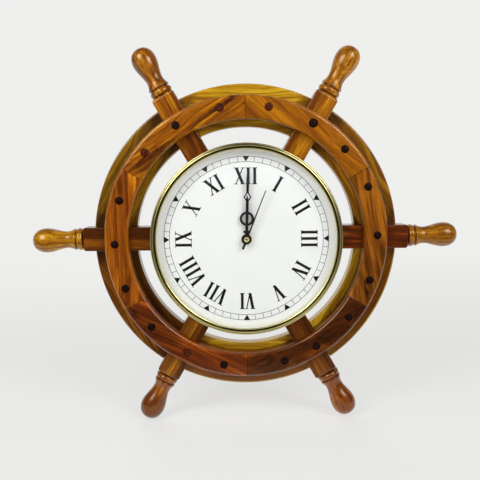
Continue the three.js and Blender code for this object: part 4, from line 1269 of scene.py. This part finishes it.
# %% Stamping a hand
HAND_SHEET = 0.6
HAND_BEVEL = 0.12
SHARP_EDGE = 0.8


def arc(centre, radius, start, end, steps):
    """Points on an arc about a centre on the hand's own line; angles in degrees from +x."""
    angles = [math.radians(start + (end - start) * i / steps) for i in range(steps + 1)]
    return [(radius * math.cos(a), centre + radius * math.sin(a)) for a in angles]


def circle(centre, radius):
    return arc(centre, radius, 0, 345, 23)


def stamped(right_side, openings, back):
    """A plate whose outline is the right side and its mirror image, with openings, from back to front."""
    bm = bmesh.new()
    left_side = [(-x, y) for x, y in reversed(right_side) if abs(x) > 1e-6]
    for loop in [right_side + left_side] + openings:
        verts = [bm.verts.new((x, y, back)) for x, y in loop]
        for start, end in zip(verts, verts[1:] + verts[:1]):
            bm.edges.new((start, end))
    bmesh.ops.triangle_fill(bm, edges=bm.edges[:], use_beauty=True)
    bmesh.ops.dissolve_limit(bm, angle_limit=0.01, verts=bm.verts[:], edges=bm.edges[:])
    raised(bm, bm.faces[:], HAND_SHEET)
    bmesh.ops.recalc_face_normals(bm, faces=bm.faces)
    front = [e for e in bm.edges if all(v.co.z > back + HAND_SHEET / 2 for v in e.verts)]
    soften(bm, [e for e in front if e.calc_face_angle(0) > SHARP_EDGE], HAND_BEVEL, 2)
    return bm


hand_black = speckled("hand_black", 1200, (6, 6, 7), (20, 20, 22), (0.35, 0.55),
                      constants={"Specular IOR Level": 0.2})
print("hands are", HAND_SHEET, "mm thick")

# %% [markdown]
# The hour hand has a ring, a curl on each side of its boss and a plain tip. The minute hand has an open
# lozenge, and the second hand is a needle with a round tail. They stand at the photographed time. A brass
# cap with painted shade in its hollow covers the middle and turns with the second hand.

# %% Hands
HOUR_RING = 21.5
curl = [(2.1 + x, y) for x, y in arc(7.8, 1.35, -115, 140, 10)]
hour_side = (arc(0, 5.4, -90, 70, 16) + [(1.4, 6.3)] + curl + [(1.35, 9.4), (1.35, 12.6)]
             + arc(HOUR_RING, 7.4, -79, 79, 20)
             + [(1.35, 30.4), (1.4, 36.0), (1.1, 41.0), (0.4, 45.5), (0.0, 46.0)])
minute_side = (arc(0, 4.4, -90, 68, 14)
               + [(1.55, 7.0), (1.45, 39.2), (1.6, 40.2), (2.9, 42.2), (4.2, 43.9), (2.9, 45.6), (1.8, 47.6),
                  (1.35, 49.6), (1.35, 53.0), (1.5, 58.0), (1.25, 66.0), (0.45, 74.2), (0.0, 75.0)])
lozenge = [(0, 41.0), (1.5, 42.5), (2.8, 43.9), (1.6, 45.5), (0, 48.2), (-1.6, 45.5), (-2.8, 43.9),
           (-1.5, 42.5)]
second_side = arc(-9.7, 1.4, -90, 20, 8) + [(1.2, -4.0), (0.95, 0.0), (0.85, 3.0), (0.48, 54.2), (0.0, 54.6)]
# Piece, right side, openings, height of the back, and degrees from 12
HANDS = {
    "hour": ("hour_hand_plate", hour_side, [circle(HOUR_RING, 5.0), circle(0, 3.15)], 38.7, 1.3),
    "minute": ("minute_hand_plate", minute_side, [lozenge, circle(0, 2.1)], 40.1, 1.6),
    "second": ("second_hand_needle", second_side, [], 41.5, 21.7),
}
for hand, (piece, side, openings, back, degrees) in HANDS.items():
    set_piece(stamped(side, openings, back), piece, hand_black, f"{hand}_train",
              [f"{hand}_hand"], angle=-math.radians(degrees))
CAP_LINE = [(41.4, 0), (41.4, 2.7), (42.6, 2.8), (42.95, 2.6), (43.1, 2.2), (43.0, 1.3), (42.8, 1.0),
            (42.7, 0)]
# The cap's hollow is painted dark as shade.
cap_brass = polished_brass("cap_brass", [(-0.9, 0.9)], rough=0.4)
set_piece(turned_piece(CAP_LINE, "Z", steps=32), "second_hand_cap", cap_brass, "second_train")
print(len(HANDS), "hands stamped")

# %% [markdown]
# Behind the dial hides a common battery movement. Its case, cover and wheels could be drawn again, but
# their solids already have the right shapes. So they stay and get moulded plastic, steel and resin. A
# Weld modifier joins their loose triangles, and a fine Bevel then gives their edges a highlight.

# %% Finishes for the movement
MOULD_SPECKS = 1800
MOULD_RELIEF = (0.2, 0.0002)
FINE_EDGE = 0.0002
FINE_EDGE_DEGREES = 40
black_plastic = speckled("black_plastic", MOULD_SPECKS, (24, 25, 27), (44, 45, 48), (0.37, 0.53),
                         MOULD_RELIEF)
white_plastic = speckled("white_plastic", MOULD_SPECKS, (222, 219, 208), (236, 234, 226), (0.37, 0.53),
                         MOULD_RELIEF)
board_resin = speckled("board_resin", MOULD_SPECKS, (22, 84, 50), (34, 100, 60), (0.32, 0.48), MOULD_RELIEF)
steel = speckled("brushed_steel", MOULD_SPECKS, (150, 152, 154), (176, 178, 180), (0.27, 0.43), MOULD_RELIEF,
                 constants={"Metallic": 1})
MOVEMENT_LOOKS = {
    black_plastic: ["movement_case", "movement_cover"],
    white_plastic: ["hour_wheel", "minute_wheel", "centre_wheel", "third_wheel", "second_wheel",
                    "fifth_wheel"],
    steel: ["stator", "rotor"],
    board_resin: ["coil_board"],
    sheet_brass: ["fixing_nut", "hanger_strip"],
}
for look, names in MOVEMENT_LOOKS.items():
    for name in names:
        node = frame["nodes"][name]
        node.data.materials.clear()
        node.data.materials.append(look)
        weld = node.modifiers.new("weld", "WELD")
        weld.merge_threshold = 1e-6
        edge = node.modifiers.new("fine_edge", "BEVEL")
        edge.width, edge.segments, edge.profile = FINE_EDGE, 2, 0.5
        edge.limit_method, edge.angle_limit = "ANGLE", math.radians(FINE_EDGE_DEGREES)
print(sum(len(names) for names in MOVEMENT_LOOKS.values()), "solids keep their shape")

# %% [markdown]
# A hand that reaches into the back meets the ribbed knob that sets the hands, with a raised arrow beside
# it. The ribs could be cut one by one. They are shorter as one star-shaped outline, raised to the knob's
# height, with the dish inset in its top. The knob rides on the setting train, so it turns.

# %% Setting knob and its arrow
KNOB = {"radius": 6.0, "back": 12.7, "front": 16.9, "ribs": 18, "rib": 0.5, "rim": 1.3, "dish": 1.0,
        "bevel": 0.12, "sharp": 0.9, "arbor": 1, "arbor_end": 14.5}
POINTER = {"half_length": 3.4, "half_width": 0.55, "sunk": 0.2, "foot": 0.1, "ease": 0.15}
ARROW = {"outer": 8.2, "inner": 7.4, "start": 110, "neck": 238, "height": 0.35}
ARROW_HEAD = ((9.0, 238), (7.8, 254), (6.6, 238))
COVER_BACK = 17.2
knob_x, _, knob_z = joint_point("setting_turn")
knob_place = (MILLIMETRES * (knob_x - CENTRE.x), MILLIMETRES * (knob_z - CENTRE.z), 0)
bm = bmesh.new()
ring = []
for step in range(4 * KNOB["ribs"]):
    angle = math.pi * step / (2 * KNOB["ribs"])
    radius = KNOB["radius"] - (KNOB["rib"] if step % 4 > 1 else 0)
    ring.append(bm.verts.new((radius * math.cos(angle), radius * math.sin(angle), KNOB["front"])))
grip = raised(bm, [bm.faces.new(ring)], KNOB["back"] - KNOB["front"])
bmesh.ops.recalc_face_normals(bm, faces=bm.faces)
bmesh.ops.inset_region(bm, faces=grip, thickness=KNOB["rim"], depth=-KNOB["dish"])
soften(bm, [e for e in bm.edges if e.calc_face_angle(0) > KNOB["sharp"]], KNOB["bevel"], 2)
arbor_hole = turned_piece([(KNOB["arbor_end"], 0), (KNOB["arbor_end"], KNOB["arbor"]),
                           (KNOB["front"] + 1, KNOB["arbor"]), (KNOB["front"] + 1, 0)], "Z", steps=16)
pointer = board((-POINTER["half_length"], POINTER["half_length"]),
                (-POINTER["half_width"], POINTER["half_width"]),
                (KNOB["back"] + POINTER["sunk"], KNOB["back"] + KNOB["dish"] + POINTER["foot"]),
                POINTER["ease"], 2)
bm = shifted(joined([carved(bm, [arbor_hole]), pointer]), knob_place)
set_piece(bm, "knob_ribbed", black_plastic, "setting_train", ["setting_knob"])

head = [(r * math.cos(math.radians(a)), r * math.sin(math.radians(a))) for r, a in ARROW_HEAD]
outline = (arc(0, ARROW["outer"], ARROW["start"], ARROW["neck"], 14) + head
           + arc(0, ARROW["inner"], ARROW["neck"], ARROW["start"], 14))
bm = bmesh.new()
raised(bm, [bm.faces.new([bm.verts.new((x, y, COVER_BACK)) for x, y in outline])], -ARROW["height"])
bmesh.ops.recalc_face_normals(bm, faces=bm.faces)
set_piece(shifted(bm, knob_place), "setting_arrow", black_plastic)
print("knob with", KNOB["ribs"], "ribs")

# %% [markdown]
# The dry cell lies in an open bay: a steel can in a printed sleeve, whose ends show bare steel. One
# turned line makes the whole can. The sleeve's bands are masks on its finish, because they are only
# printed, and the ends get the steel by their distance from the can's axis.

# %% Dry cell
CELL_MIDDLE = (0, -19.35, 25.9)
CELL_LINE = [(-25.25, 0), (-25.25, 4.9), (-25.05, 5.1), (-25.05, 6.0), (-25.2, 6.4), (-24.9, 6.9),
             (-24.5, 7.1), (23.0, 7.1), (23.55, 6.95), (23.75, 6.4), (23.95, 5.2), (23.95, 2.7),
             (25.0, 2.7), (25.25, 2.4), (25.25, 0)]
SLEEVE_TONES = (28, 88, 122), (44, 110, 146)
# Place along the cell, half width and colour
SLEEVE_BANDS = [(18, 6.2, (188, 150, 76)), (11.2, 0.6, (228, 228, 222)), (-22.6, 1, (228, 228, 222))]
SLEEVE_BAND_FADE = 0.2
BARE_STEEL = 6.5
cell_sleeve, tree, shader = blank_finish("cell_sleeve")
flat = board_coords(tree, 0)
along, _, _ = axes(tree, flat)
fleck = noise(tree, flat, (900, 900, 900), shift=3.0)
tint = mix_colour(tree, fleck, *(colour(*tone) for tone in SLEEVE_TONES))
for place, half, band in SLEEVE_BANDS:
    tint = mix_colour(tree, near(tree, along, place, half, SLEEVE_BAND_FADE), tint, colour(*band))
tree.links.new(tint, shader.inputs["Base Color"])
tree.links.new(spread(tree, fleck, 0, 1, 0.22, 0.36), shader.inputs["Roughness"])
add_bump(tree, shader, fleck, 0.1, 0.0001)
bm = turned_piece(CELL_LINE, "X", steps=48)
for face in bm.faces:
    face.material_index = int(face.calc_center_median().yz.length < BARE_STEEL)
cell = set_piece(shifted(bm, CELL_MIDDLE), "cell_sleeved", cell_sleeve,
                 stands_for=["cell"])
cell.data.materials.append(steel)
print(cell.name, len(cell.data.polygons), "faces")

# %% [markdown]
# Two pressed plates face the cell's ends, each with a boss, and two slotted screws hold the toothed
# strip at the top of the rim. They are small, so each is one turned line joined to a plate or cut by a
# slot.

# %% Contacts and screws
CONTACT_PLATE = {"y": (-25.4, -13.3), "z": (19.2, 31.6), "ease": 0.1}
CONTACTS = {
    "contact_plus": ((26.15, 26.5), [(25.4, 0), (25.45, 1.6), (25.9, 2.7), (26.2, 3.0), (26.2, 0)]),
    "contact_minus": ((-26.5, -26.15), [(-26.2, 0), (-26.2, 4.6), (-25.9, 4.2), (-25.5, 3.0), (-25.45, 0)]),
}
for name, (thick, boss) in CONTACTS.items():
    plate = board(thick, CONTACT_PLATE["y"], CONTACT_PLATE["z"], CONTACT_PLATE["ease"], 2)
    stud = shifted(turned_piece(boss, "X", steps=32), CELL_MIDDLE)
    set_piece(joined([plate, stud]), name, steel)
SCREW_LINE = [(0.9, 0), (0.9, 1.2), (1.1, 2.0), (1.6, 2.55), (2.45, 2.7), (2.45, 1.3), (9.0, 1.2), (10.5, 0)]
SCREW_SLOT = ((-3, 3), (-0.35, 0.35), (0, 1.6))
SCREWS = {"left": -1, "right": 1}
SCREW_PLACE = (19, 142)
SCREW_TURN = 0.5
for name, side in SCREWS.items():
    screw = turned(carved(turned_piece(SCREW_LINE, "Z", steps=32), [board(*SCREW_SLOT)]), SCREW_TURN * side)
    shifted(screw, (SCREW_PLACE[0] * side, SCREW_PLACE[1], 0))
    set_piece(screw, f"hanger_screw_{name}", steel)
print(len(CONTACTS), "contacts and", len(SCREWS), "screws in place")

# %% [markdown]
# Dressing the solids must not change the object's size. So the solids' box is printed at the start, and
# the finished part's box is printed here.

# %% Sizes
low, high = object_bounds()
print("drawn from", low[:], "to", high[:])
